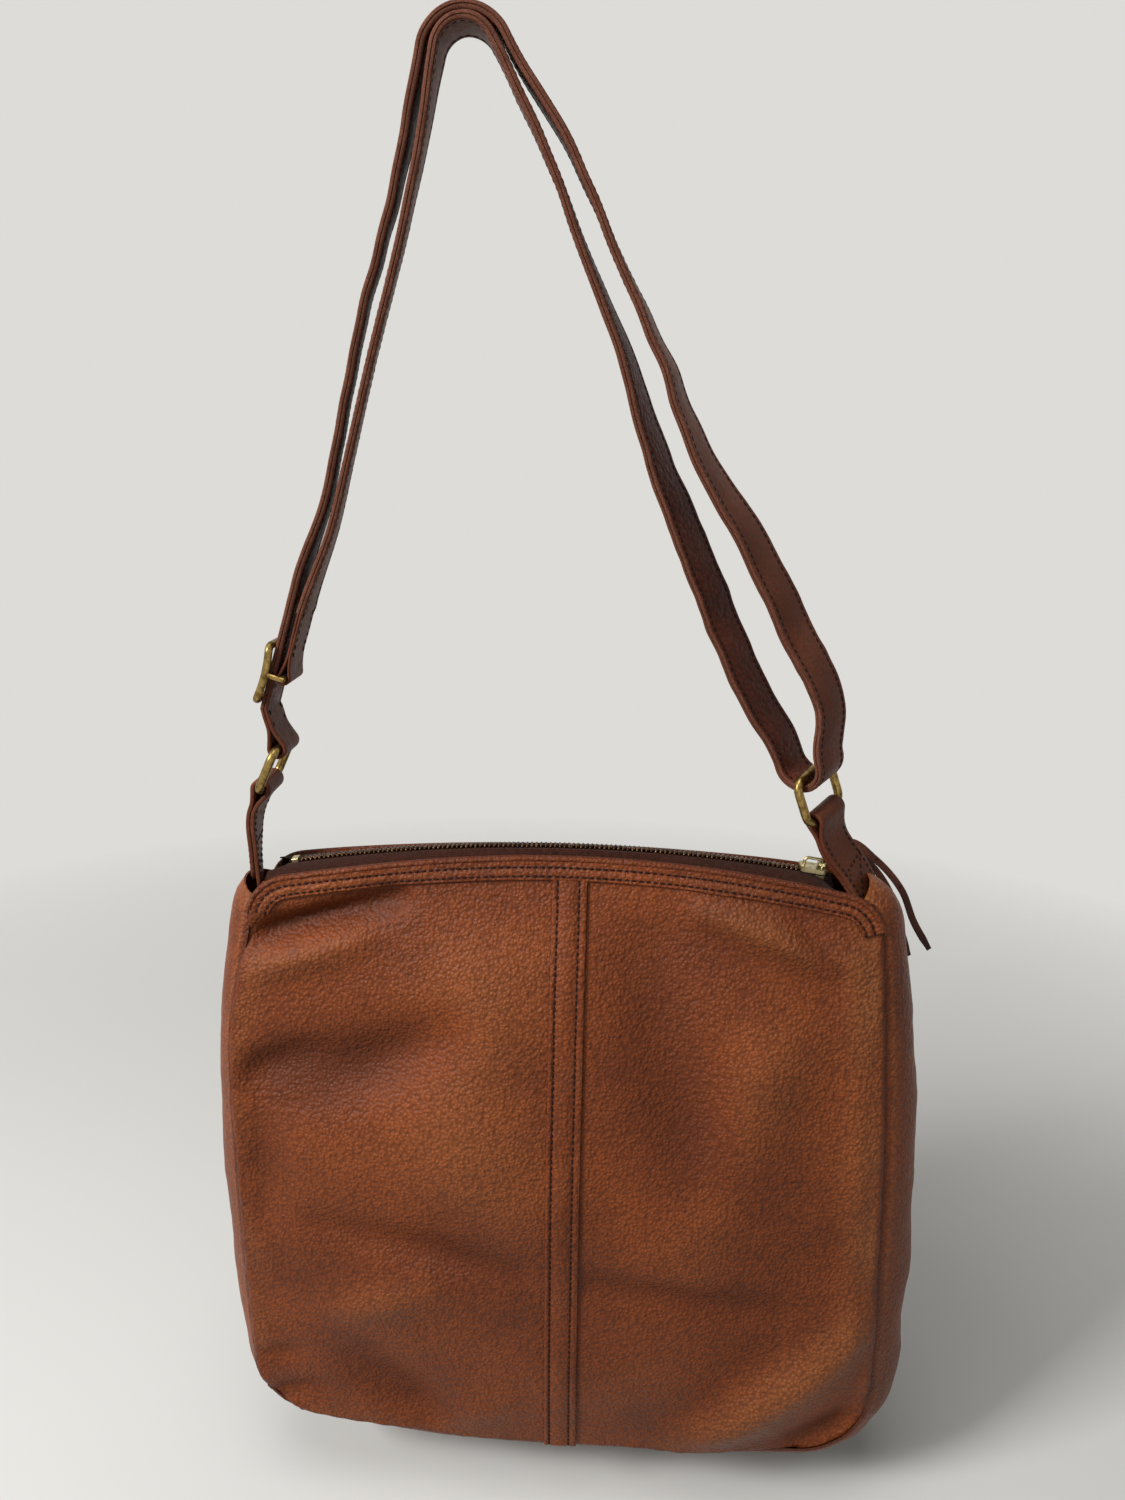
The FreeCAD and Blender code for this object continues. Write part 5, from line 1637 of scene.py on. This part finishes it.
def wire_mesh(path: Array, radius: float, closed: bool, sides: int = 14) -> Skin:
    """Points and faces of a round wire along a path."""
    if closed:
        travel = unit(np.roll(path, -1, axis=0) - np.roll(path, 1, axis=0))
    else:
        travel = unit(np.gradient(path, axis=0))
    normal = np.empty_like(path)
    guide = np.array([1.0, 0.0, 0.0]) if abs(travel[0, 0]) < 0.8 else Y_AXIS
    for k, run in enumerate(travel):
        guide = unit(guide - run * (guide @ run))
        normal[k] = guide
    other = np.cross(travel, normal)
    turns = np.linspace(0, 2 * pi, sides, endpoint=False)
    rings = (
        path[:, None, :]
        + radius * np.cos(turns)[None, :, None] * normal[:, None, :]
        + radius * np.sin(turns)[None, :, None] * other[:, None, :]
    )
    return tube(rings, closed)


def joined_mesh(parts: Sequence[Skin]) -> Skin:
    """Points and faces of several meshes as one."""
    points: List[Array] = []
    faces: List[Tuple[int, ...]] = []
    count = 0
    for verts, skin in parts:
        points.append(verts)
        faces += [tuple(k + count for k in face) for face in skin]
        count += len(verts)
    return np.concatenate(points), faces


@dataclass
class Hardware:
    """The two wire rings, the strap adjuster and the metal of the zip."""

    spots: Fittings
    looks: Finishes
    rail_wire: float = 1.7
    height: float = 25.0
    bow: float = 1.2
    lug: float = 2.6
    corner: float = 2.6

    def ring_path(self, pivot: Array, twist: float) -> Array:
        """Centreline of a rectangular ring with rounded corners."""
        _, along, up = self.spots.hang(pivot, twist)
        half = self.spots.ring_room / 2 + self.spots.ring_wire
        radius = self.spots.ring_corner
        loop = rounded_loop(half - radius, radius, self.spots.ring_pitch - radius, radius, 9, 1.4)
        return np.array([pivot + along * a + up * b for a, b in loop])

    def ring(self, side: str, pivot: Array, twist: float) -> None:
        """A ring of round wire on its own body."""
        points, faces = wire_mesh(self.ring_path(pivot, twist), self.spots.ring_wire, True, 18)
        piece = make_piece(f"wire_ring_{side}", points, faces, [self.looks.brass], crisp=50)
        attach(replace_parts(piece, f"ring_{side}"), f"ring_{side}")

    def adjuster(self) -> Object:
        """The cast slide: a bowed loop of wire with a centre bar on lugs behind the strap."""
        out, up = self.spots.adjuster_axes()
        origin = self.spots.adjuster
        rail = self.spots.strap_thickness / 2 + self.spots.fit + self.rail_wire
        half_y = self.spots.strap_width / 2 + 2 * self.spots.fit + self.lug / 2
        half_z = self.height / 2
        high = half_z - self.corner
        loop = rounded_loop(half_y - self.corner, -high, high, self.corner, 8, 1.1)
        flanks = smooth(np.abs(loop[:, 0]), half_y - 4, half_y)
        level = rail - self.bow * (1 - (loop[:, 1] / half_z) ** 2) * flanks
        path = origin + out * level[:, None] + Y_AXIS * loop[:, :1] + up * loop[:, 1:]
        parts = [wire_mesh(path, self.rail_wire, True, 14)]
        bar_x = self.spots.bar_x()
        reach = self.spots.strap_width / 2 + 2 * self.spots.fit
        bar = origin + out * bar_x + Y_AXIS * np.linspace(-reach - 0.8, reach + 0.8, 16)[:, None]
        parts.append(wire_mesh(bar, self.spots.bar, False, 14))
        arm = (bar_x + (rail - self.bow - bar_x) * np.linspace(-0.12, 1.0, 8))[:, None]
        for side in (-1, 1):
            parts.append(wire_mesh(origin + out * arm + Y_AXIS * side * half_y, self.lug / 2, False, 12))
        points, faces = joined_mesh(parts)
        return make_piece("cast_adjuster", points, faces, [self.looks.brass], crisp=55)

    def build(self, nodes: Dict[str, Object]) -> None:
        """Builds the hardware and finishes the small metal pieces."""
        self.ring("left", self.spots.left_pivot, 0.0)
        self.ring("right", self.spots.right_pivot, self.spots.right_twist)
        adjuster = self.adjuster()
        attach(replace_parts(adjuster, "strap_adjuster"), "adjuster")
        for name in ("zip_slider", "zip_puller", "zip_bottom_stop"):
            node = nodes[name]
            if not node.data.materials:
                node.data.materials.append(None)
            for slot in node.material_slots:
                slot.link = "OBJECT"
                slot.material = self.looks.slider_brass
        LOG.info("rings, adjuster and zip metal")


def fold_run(
    origin: Array, out: Array, up: Array, wide: Array, radius: float, half: float, throat: float, tail: float
) -> Run:
    """A ply folded round a bar, from its outer tail round the bar to its inner tail.

    Args:
        origin: The bar's centre.
        out: Direction from the inner tail to the outer one.
        up: Direction of the tails.
        wide: Direction along the bar.
        radius: Distance from the bar's centre to the ply's middle.
        half: Distance from the fold's middle plane to each tail's middle.
        throat: Height at which the tails meet.
        tail: Height of the tails' ends.

    Returns:
        The run, its face towards the bar.
    """
    turns = np.radians(np.linspace(25, -205, 26))
    loop = np.stack([radius * np.cos(turns), radius * np.sin(turns)], axis=1)
    rise = max(tail - throat, 1.5)
    right = np.array([(half, throat + rise), (half, throat + rise * 0.5), (half, throat)])
    left = right[::-1] * [-1, 1]
    flat = np.concatenate([right, loop, left])
    dense = spaced(spline(np.concatenate([flat, np.zeros((len(flat), 2))], axis=1), step=1.0)[:, :2], 0.9)
    run = unit(np.gradient(dense, axis=0))
    side = np.stack([run[:, 1], -run[:, 0]], axis=1)
    centre = origin + dense[:, :1] * out + dense[:, 1:] * up
    face = side[:, :1] * out + side[:, 1:] * up
    return Run(centre, np.broadcast_to(wide, centre.shape).copy(), face)


@dataclass
class Strap:
    """The long doubled strap, its slack stretch and its end on the adjuster."""

    spots: Fittings
    looks: Finishes
    stitches: StitchMaker
    inner_bight: float = 12.0
    outer_bight: float = 17.0
    left_leave: float = 10.0
    right_leave: float = 25.0
    ring_loop: float = 10.0
    room_up: float = 45.0
    room_down: float = 16.0
    bar_tail: float = 30.0
    fold_seam: float = 7.6
    first_stitch: float = 11.0
    bar_throat: float = 9.0
    ring_throat: float = 10.0
    seam_edge: float = 2.4
    layer_gap: float = 0.3
    left_outer: Route = (
        (-105.6, 0, 150.0, -7), (-96.8, 0, 185.0, -9), (-87.5, 0, 222.0, -9), (-78.6, 0, 250.0, -8),
        (-69.6, 0, 280.0, -5),
    )
    left_inner: Route = ((-60.6, 0, 292.0, -5), (-72.0, 0, 248.0, -9), (-84.0, 0, 208.0, -10))
    left_cut: Tuple[float, ...] = (-95.6, 0, 166.0, -9)
    left_slack: Tuple[float, ...] = (-102.6, 0, 141.0, -7)
    right_inner: Route = (
        (-15.6, 0, 285.0, 0), (-0.5, 0, 252.0, 4), (16.0, 1, 214.0, 12), (30.0, 2, 178.0, 24),
        (44.0, 3, 144.0, 36), (60.5, 4, 108.0, 42), (79.0, 5, 70.0, 42),
    )
    right_outer: Route = (
        (-6.0, 0, 286.0, 0), (12.5, 0, 250.0, 4), (32.0, -1, 211.0, 12), (51.5, -2, 170.0, 24),
        (75.0, -3, 133.0, 38), (95.0, -4, 97.0, 44), (109.5, -5, 68.0, 42),
    )

    def bight(self, radius: float, top: float, inner: bool) -> Run:
        """The strap's bend over the hook, travelling right if it is the outer one and left if not."""
        centre = np.array([-HOOK[0], 0.0, top - self.spots.strap_thickness / 2 - radius])
        x_axis, z_axis = np.array([1.0, 0, 0]), np.array([0, 0, 1.0])
        left, right = radians(180 - self.left_leave), radians(self.right_leave)
        ends = (right, left) if inner else (left, right)
        run = bend_run(centre, x_axis, z_axis, radius, *ends, Y_AXIS)
        return Run(run.centre, run.wide, -run.face) if inner else run

    def loop_in_ring(self) -> Tuple[Run, Array, Array, Array]:
        """The strap's round turn in the right ring, its two ends and the pull's direction."""
        across, along, up = self.spots.hang(self.spots.right_pivot, self.spots.right_twist)
        bar = self.spots.right_pivot + up * self.spots.ring_pitch
        inner = self.ring_loop - self.spots.strap_thickness / 2
        centre = bar + up * (inner - self.spots.ring_wire - self.spots.ring_fit)
        run = bend_run(centre, across, -up, self.ring_loop, 0.0, pi, along)
        return run, centre + across * self.ring_loop, centre - across * self.ring_loop, up

    def lively(self, run: Run) -> Run:
        """The run with the small buckles that a used strap has where it hangs free."""
        length = along_path(run.centre)
        place = length[:, None]
        free = smooth(length, 60, 150) * smooth(length[-1] - length, 60, 150)
        twist_share = np.abs(run.wide[:, 0:1])
        sway = ripple(place, 15.0, 61)[:, None] * (0.25 + 1.1 * twist_share) * free[:, None]
        broad = ripple(place, 44.0, 62)[:, None] * 0.5 * free[:, None]
        return Run(run.centre + run.face * (sway * 0.55 + broad), run.wide, run.face)

    def ring_stub(self) -> Tuple[Array, Array, Array, float]:
        """The left ring's upper bar, the strap's lower sewn place, and the way and distance between them."""
        _, _, left_up = self.spots.hang(self.spots.left_pivot, 0.0)
        bar = self.spots.left_pivot + left_up * self.spots.ring_pitch
        _, up = self.spots.adjuster_axes()
        low = self.spots.adjuster - up * self.room_down
        return bar, low, unit(low - bar), float(np.linalg.norm(low - bar))

    def main_run(self) -> Run:
        """The strap from above the left ring, over the hook, round the right ring and back."""
        _, up = self.spots.adjuster_axes()
        high = self.spots.adjuster + up * self.room_up
        bar, low, end_up, gap = self.ring_stub()
        foot = bar + end_up * (gap - self.spots.strap_thickness)
        turn, low_outer, low_inner, pull = self.loop_in_ring()
        hook, ply = -HOOK[2], self.spots.strap_thickness
        outer = self.bight(self.outer_bight, hook + 2 * ply + self.layer_gap, False)
        inner = self.bight(self.inner_bight, hook + ply, True)
        twist = self.spots.right_twist
        up_outer, down_outer = np.diff(outer.centre, axis=0)[[0, -1]]
        up_inner, down_inner = np.diff(inner.centre, axis=0)[[0, -1]]
        cut, cut_twist = self.left_cut[:3], self.left_cut[3]
        fall = np.array(cut) - np.array(self.left_inner[-1][:3])
        parts = [
            leg(foot, (), low, end_up, up, 1),
            leg(low, (), high, up, up, 1),
            leg(high, self.left_outer, outer.centre[0], up, up_outer, 1),
            outer,
            leg(outer.centre[-1], self.right_outer, low_outer, down_outer, -pull, -1, (0, twist)),
            turn,
            leg(low_inner, self.right_inner[::-1], inner.centre[0], pull, up_inner, 1, (twist, 0)),
            inner,
            leg(inner.centre[-1], self.left_inner, cut, down_inner, fall, -1, (0, cut_twist)),
        ]
        return self.lively(Run.joined(parts))

    def skin(self, name: str, run: Run, seed: int) -> Object:
        """Two sewn plies along a run: smooth outside, pebbled inside, cut edges between."""
        profile, kinds = doubled_profile(self.spots.strap_width, self.spots.strap_thickness)
        rings = run.rings(profile)
        length = along_path(run.centre)[:, None]
        ripples = ripple(np.concatenate([length, np.zeros_like(length)], axis=1), 4.2, seed)
        scallop = (np.abs(profile[:, 0]) / (self.spots.strap_width / 2)) ** 4
        rings = rings + run.wide[:, None, :] * (
            np.sign(profile[:, 0]) * scallop * 0.22
        )[None, :, None] * ripples[:, None, None]
        points, faces = tube(rings)
        slots = kinds * (len(rings) - 1) + [2, 2]
        tone = np.clip(ripple(points, 18.0, seed + 1) * 0.35, -1, 1)
        return make_piece(
            name, points, faces, [self.looks.strap, self.looks.strap_back, self.looks.edge], slots, 48, tone
        )

    def rows(self, run: Run, first: int = 0, last: Optional[int] = None) -> List[Tuple[Array, Array]]:
        """Stitch paths along both edges of both faces."""
        edge = self.spots.strap_width / 2 - self.seam_edge
        proud = self.spots.strap_thickness / 2 - 0.1
        return [run.line(a, b, first, last) for a in (-edge, edge) for b in (-proud, proud)]

    def slack_run(self, start: Run) -> Run:
        """From the strap's cut down to the end on the adjuster."""
        out, up = self.spots.adjuster_axes()
        low = self.spots.adjuster + out * self.spots.bar_x() + up * (self.bar_tail - 0.4)
        top = start.centre[-1]
        fall = top - start.centre[-3]
        return leg(top, (self.left_slack,), low, fall, -up, -1, (self.left_cut[3], 0))

    def folded_end(
        self, names: Tuple[str, str], bar: Array, out: Array, up: Array, ply: float, fold: Run, heights: Array
    ) -> Tuple[Object, Object]:
        """An end of the strap folded round a bar and sewn to itself.

        Args:
            names: The piece's name and its stitches' name.
            bar: The bar's centre.
            out: Direction from the fold's inner face to its outer one.
            up: Direction from the bar along the fold.
            ply: Thickness of the leather that is folded.
            fold: The fold's run.
            heights: Places of the stitch rows' points above the bar.

        Returns:
            The piece and its stitches.
        """
        points, faces = tube(fold.rings(ply_profile(self.spots.strap_width, ply)))
        piece = make_piece(names[0], points, faces, [self.looks.strap], crisp=60)
        rows = [
            (bar + out * b + up * heights[:, None] + Y_AXIS * a, out * np.sign(b))
            for a in (-self.fold_seam, self.fold_seam)
            for b in (-ply, ply)
        ]
        return piece, self.stitches.make(names[1], rows)

    def bar_end(self) -> Tuple[Object, Object]:
        """The strap's end folded round the adjuster's bar and sewn to itself."""
        out, up = self.spots.adjuster_axes()
        bar, ply = self.spots.adjuster + out * self.spots.bar_x(), self.spots.bar_ply
        radius = self.spots.bar + self.spots.fit + ply / 2
        fold = fold_run(bar, out, up, Y_AXIS, radius, ply / 2, self.bar_throat, self.bar_tail)
        heights = np.linspace(self.first_stitch, self.bar_tail - 2, 12)
        names = "strap_end_round_bar", "strap_end_stitches"
        return self.folded_end(names, bar, out, up, ply, fold, heights)

    def ring_end(self) -> Tuple[Object, Object]:
        """The strap's other end folded round the left ring and sewn back to itself."""
        bar, _, up, gap = self.ring_stub()
        out, ply = np.cross(Y_AXIS, up), self.spots.strap_thickness / 2
        reach = gap - self.spots.strap_thickness + 1.0
        radius = self.spots.ring_wire + self.spots.ring_fit + ply / 2
        fold = fold_run(bar, out, up, Y_AXIS, radius, ply / 2, self.ring_throat, reach)
        heights = np.linspace(self.first_stitch, reach, 10)
        names = "strap_end_round_ring", "strap_ring_end_stitches"
        return self.folded_end(names, bar, out, up, ply, fold, heights)

    def build(self) -> None:
        """Builds the strap and joins it to its bodies."""
        run = self.main_run()
        skin = self.skin("long_strap", run, 71)
        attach(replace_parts(skin, "strap"), "strap")
        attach(self.stitches.make("long_strap_stitches", self.rows(run, 6, -2)), "strap")
        fold, seam = self.ring_end()
        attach(fold, "strap")
        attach(seam, "strap")
        slack = self.slack_run(run)
        stretch = self.skin("slack_stretch", slack, 72)
        rows = self.stitches.make("slack_stitches", self.rows(slack))
        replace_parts(stretch, "strap_slack_run")
        for piece in (stretch, rows):
            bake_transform(piece)
        end, end_rows = self.bar_end()
        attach(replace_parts(end, "strap_end_on_adjuster"), "adjuster")
        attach(end_rows, "adjuster")
        LOG.info("strap, slack stretch and both ends")


@dataclass
class Tab:
    """A doubled leather tab: round a ring's lower bar and down into the end of the bag."""

    form: BagForm
    spots: Fittings
    looks: Finishes
    stitches: StitchMaker
    name: str
    pivot: Array
    twist: float
    side: int
    ply: float = 1.9
    width: float = 20.0
    throat: float = 10.0
    inside: float = 1.7
    bend: float = 28.0
    tail: float = 46.0
    short_end: float = 0.62
    seam_edge: float = 2.2
    stitch_pitch: float = 2.8
    stitch_length: float = 2.1
    settled_twist: float = 0.0
    foot_out: float = 0.0

    def legs(self) -> Tuple[Run, Array, Array, Array]:
        """The tab's middle run from its neck down, and the ring's directions."""
        across, along, up = self.spots.hang(self.pivot, self.twist)
        neck = self.pivot - up * (self.throat + 1)
        width_at = self.form.half_width(np.array([-self.bend, -self.tail]))
        base = np.array([self.side * (width_at[0] - self.inside + self.foot_out), 0.0, -self.bend])
        end = base + np.array([(width_at[1] - width_at[0]) * self.side, 0.0, self.bend - self.tail])
        middle = (neck + base) / 2 + np.array([self.side * 1.5, 0.0, 0.0])
        stations = [
            (*neck, self.twist), (*middle, self.twist * 0.95 + self.settled_twist * 0.8),
            (*base, self.twist * 0.75 + self.settled_twist), (*end, self.twist * 0.5 + self.settled_twist),
        ]
        return twisted(stations, -up, end - base, -1, 1.6), across, along, up

    def build(self) -> None:
        """Builds the tab with its short back ply, its stitches and its box of cross stitches."""
        legs, across, along, up = self.legs()
        half = self.ply / 2 + 0.06
        radius = self.spots.ring_wire + self.spots.ring_fit + self.ply / 2
        loop = fold_run(self.pivot, -across, -up, along, radius, half, self.throat, self.throat + 1)
        count = int(len(legs.centre) * self.short_end)
        inner = legs.face @ np.array([1.0, 0.0, 0.0])
        sign = float(np.sign(inner[0]) * np.sign((-across)[0]))
        first = Run(legs.centre + legs.face * sign * half, legs.wide, legs.face * -sign)
        second = Run(legs.centre - legs.face * sign * half, legs.wide, legs.face * sign)
        long_first = self.side * across[0] > 0
        long_leg, short_leg = (first, second) if long_first else (second, first)
        short = Run(short_leg.centre[:count], short_leg.wide[:count], short_leg.face[:count])
        if long_first:
            run = Run.joined([long_leg.reversed(), loop, short])
        else:
            run = Run.joined([short.reversed(), loop, long_leg])
        length = along_path(run.centre)
        gap = length[-1] - length if long_first else length
        narrow = np.sqrt(np.clip(1 - (1 - np.clip(gap / 8.0, 0.02, 1)) ** 2, 0.02, 1))
        flip = np.cross(run.wide, np.gradient(run.centre, axis=0))
        facing = np.sign((flip * run.face).sum(axis=1, keepdims=True))
        run = Run(run.centre, run.wide, unit(flip) * facing)
        points, faces = tube(run.rings(ply_profile(self.width, self.ply), narrow))
        tone = np.clip(ripple(points, 14.0, 81) * 0.4, -1, 1)
        piece = make_piece(f"leather_{self.name}", points, faces, [self.looks.strap], crisp=60, tone=tone)
        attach(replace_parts(piece, self.name), "bag")
        proud = self.ply + 0.1
        edge = self.width / 2 - self.seam_edge
        rows = [legs.line(a, b, 0, count - 3) for a in (-edge, edge) for b in (-proud, proud)]
        low, high = int(count * 0.42), count - 4
        for b in (-proud, proud):
            cross = ((low, -edge), (high, edge)), ((low, edge), (high, -edge)), ((low, -edge), (low, edge))
            for ends in cross:
                pair = np.array([legs.centre[k] + legs.wide[k] * a + legs.face[k] * b for k, a in ends])
                rows.append((spaced(pair, 1.5), legs.face[low] * np.sign(b)))
        stitching = self.stitches.make(f"{self.name}_stitches", rows, self.stitch_pitch, self.stitch_length)
        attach(stitching, "bag")
        LOG.info("%s with its stitches", self.name)


@dataclass
class PullLace:
    """The leather lace looped through the zip pull, its tails hanging over the end of the bag."""

    form: BagForm
    looks: Finishes
    slider_place: float = 108.0
    bail_span: float = 8.4
    bail_up: float = 4.25
    turn: float = 70.0
    drop: float = 8.0
    pull_length: float = 10.5
    pull_half: float = 2.7
    pull_thickness: float = 1.2
    width: float = 3.4
    thickness: float = 1.0
    throat: float = 5.0
    upper: Route = (
        (-9.0, 19.5, -1.0, 60), (3.0, 18.5, -8.5, 58), (15.5, 14.0, -22.0, 62), (21.5, 11.0, -36.0, 68),
        (29.5, 10.0, -49.0, 72),
    )
    lower: Route = (
        (-10.0, 21.0, -4.0, 60), (1.5, 22.0, -12.0, 56), (12.5, 20.0, -27.0, 60), (17.5, 18.0, -42.0, 66),
        (22.5, 17.0, -56.0, 70),
    )

    def pull_axes(self) -> Tuple[Array, Array, Array, Array]:
        """Where the pull hangs, and its directions along, across and out of its face."""
        zip_radius = self.form.zip_radius
        angle = asin(self.slider_place / zip_radius)
        radius = zip_radius + self.bail_up
        half = self.bail_span / 2
        x = radius * sin(angle) + half * cos(angle)
        place = np.array([x, 0.0, radius * cos(angle) - zip_radius - half * sin(angle)])
        turn, drop = radians(self.turn), radians(self.drop)
        along = np.array([cos(turn) * cos(drop), sin(turn) * cos(drop), -sin(drop)])
        across = np.array([-sin(turn), cos(turn), 0.0])
        return place, along, across, np.cross(along, across)

    def build(self) -> None:
        """Builds the lace and joins it to the pull."""
        place, along, across, normal = self.pull_axes()
        bar = place + along * (self.pull_length + self.pull_half / 2 + 0.35)
        half = self.thickness / 2
        radius = self.pull_thickness + 0.35 + half
        loop = fold_run(bar, -normal, along, across, radius, half, self.throat, self.throat + 1)
        start = bar + along * (self.throat + 1)
        runs = [loop]
        for side, route in ((1, self.upper), (-1, self.lower)):
            first = start + normal * side * half
            stations = [(*first, 90 - self.turn)]
            stations += [(self.form.half_top + x, y, z, twist) for x, y, z, twist in route]
            last = np.array(stations[-1][:3]) - np.array(stations[-2][:3])
            runs.append(twisted(stations, along, last, -1, 1.2))
        parts = []
        for number, run in enumerate(runs):
            narrow = np.ones(len(run.centre))
            if number:
                length = along_path(run.centre)
                narrow = 1 - 0.3 * smooth(length, length[-1] - 7, length[-1])
            parts.append(tube(run.rings(ply_profile(self.width, self.thickness, 0.3), narrow)))
        points, faces = joined_mesh(parts)
        tone = np.clip(ripple(points, 9.0, 91) * 0.6, -1, 1)
        piece = make_piece("pull_lace", points, faces, [self.looks.lace], crisp=60, tone=tone)
        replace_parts(piece, "zip_pull_thongs")
        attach(piece, "zip_pull")
        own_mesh(piece)
        LOG.info("pull lace")


# ------------------ studio


@dataclass
class Studio:
    """Camera, lamps, pale floor and pale surroundings."""

    lens: float = 26.0
    pitch: float = 15.67
    roll: float = 4.1
    lean: float = 4.66
    yaw: float = 4.5
    place: Tuple[float, float, float] = (-15.3, -460.0, 173.7)
    floor_z: float = -352.0
    floor_half: float = 2.4
    aim: Tuple[float, float, float] = (0.044, 0, -0.42)

    def camera(self) -> None:
        """The camera, a short lens close to the bag, a little to its right."""
        p, r, lean = radians(self.pitch), radians(self.roll), radians(self.lean)
        right = Vector((cos(lean), 0, sin(lean)))
        up = Vector((-sin(lean), 0, cos(lean)))
        depth = Vector((0, 1, 0))
        forward = depth * cos(p) - up * sin(p)
        upright = depth * sin(p) + up * cos(p)
        cam_right = right * cos(r) - upright * sin(r)
        cam_up = right * sin(r) + upright * cos(r)
        turn = Matrix.Rotation(radians(self.yaw), 3, "Z")
        axes = [turn @ axis for axis in (cam_right, cam_up, -forward)]
        data = bpy.data.cameras.new("camera")
        data.lens = self.lens
        data.sensor_width = 36.0
        data.clip_start = 0.01
        camera = placed("camera", data)
        matrix = Matrix((axes[0], axes[1], axes[2])).transposed().to_4x4()
        matrix.translation = Vector(to_row(np.array(turn @ Vector(self.place))))
        camera.matrix_world = matrix
        bpy.context.scene.camera = camera

    def lamp(self, name: str, place: Tuple[float, float, float], power: float, size: float) -> None:
        """A square soft lamp that points at the middle of the bag."""
        data = bpy.data.lights.new(name, "AREA")
        data.energy = power
        data.size = size
        lamp = placed(name, data)
        lamp.location = place
        lamp.rotation_euler = (Vector(self.aim) - Vector(place)).to_track_quat("-Z", "Y").to_euler()

    def seen(self, tree: NodeTree) -> NodeSocket:
        """1 for rays to the eye, reflections and rays through glass, and 0 for rays that only light."""
        path = add_node(tree, "ShaderNodeLightPath")
        shown = path.outputs["Is Camera Ray"]
        for kind in ("Is Glossy Ray", "Is Transmission Ray"):
            shown = add_node(
                tree, "ShaderNodeMath", {"operation": "MAXIMUM"}, links={0: shown, 1: path.outputs[kind]}
            ).outputs[0]
        return shown

    def surroundings(self) -> None:
        """Pale surroundings to the eye and in reflections, dimmer as light."""
        world = bpy.data.worlds.new("pale_studio")
        bpy.context.scene.world = world
        tree = blank_tree(world)
        seen = self.seen(tree)
        light = add_node(tree, "ShaderNodeBackground", values={0: linear("#f1f0ec"), 1: 0.17})
        sight = add_node(tree, "ShaderNodeBackground", values={0: linear("#dddcd8"), 1: 1.0})
        both = add_node(
            tree, "ShaderNodeMixShader", links={0: seen, 1: light.outputs[0], 2: sight.outputs[0]}
        )
        add_node(tree, "ShaderNodeOutputWorld", links={0: both.outputs[0]})

    def floor(self) -> None:
        """A pale matt floor that fades out far from the bag."""
        material = bpy.data.materials.new("pale_floor_paper")
        tree = blank_tree(material)
        place = add_node(tree, "ShaderNodeTexCoord").outputs["Object"]
        away = add_node(tree, "ShaderNodeVectorMath", {"operation": "LENGTH"}, links={0: place})
        fade = ranged(tree, away.outputs["Value"], 0.75, 1.25, 0.0, 1.0)
        colour = mixed(tree, noise(tree, place, 3.0), linear("#dcdbd7"), linear("#e2e1dd"))
        colour = mixed(tree, self.seen(tree), linear("#8a8986"), colour)
        paper = add_node(tree, "ShaderNodeBsdfDiffuse", links={0: colour})
        clear = add_node(tree, "ShaderNodeBsdfTransparent")
        shaders = {0: fade, 1: paper.outputs[0], 2: clear.outputs[0]}
        both = add_node(tree, "ShaderNodeMixShader", links=shaders)
        add_node(tree, "ShaderNodeOutputMaterial", links={0: both.outputs[0]})
        mesh = bpy.data.meshes.new("floor")
        size, z = self.floor_half, (self.floor_z + HOOK[2]) * 0.001
        corners = [(-size, -size, z), (size, -size, z), (size, size, z), (-size, size, z)]
        mesh.from_pydata(corners, [], [(0, 1, 2, 3)])
        mesh.materials.append(material)
        floor = placed("floor", mesh)

    def build(self) -> None:
        """Sets the whole studio."""
        self.camera()
        self.lamp("key_softbox", (-1.1, -0.85, 0.5), 29.0, 0.45)
        self.lamp("top_softbox", (-0.1, -0.5, 1.25), 10.0, 0.9)
        self.lamp("fill_panel", (0.2, -1.9, -0.3), 3.5, 1.0)
        self.surroundings()
        self.floor()
        bpy.context.scene.view_settings.view_transform = "Standard"


def main() -> None:
    """Builds the bag in order."""
    logging.basicConfig(level=logging.INFO, format="%(name)s: %(message)s")
    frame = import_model()
    Studio().build()
    looks = Finishes()
    form = BagForm()
    spots = Fittings()
    stitches = StitchMaker(looks.thread)
    Strap(spots, looks, stitches).build()
    Hardware(spots, looks).build(frame["nodes"])
    body = LeatherBody(form, looks, stitches)
    body.build()
    Lining(form, body, looks).build()
    Zip(form, looks).build()
    lean = {"settled_twist": -16.0, "foot_out": 8.0}
    Tab(form, spots, looks, stitches, "tab_left", spots.left_pivot, 0.0, -1, **lean).build()
    Tab(form, spots, looks, stitches, "tab_right", spots.right_pivot, spots.right_twist, 1).build()
    PullLace(form, looks).build()


if __name__ == "__main__":
    main()
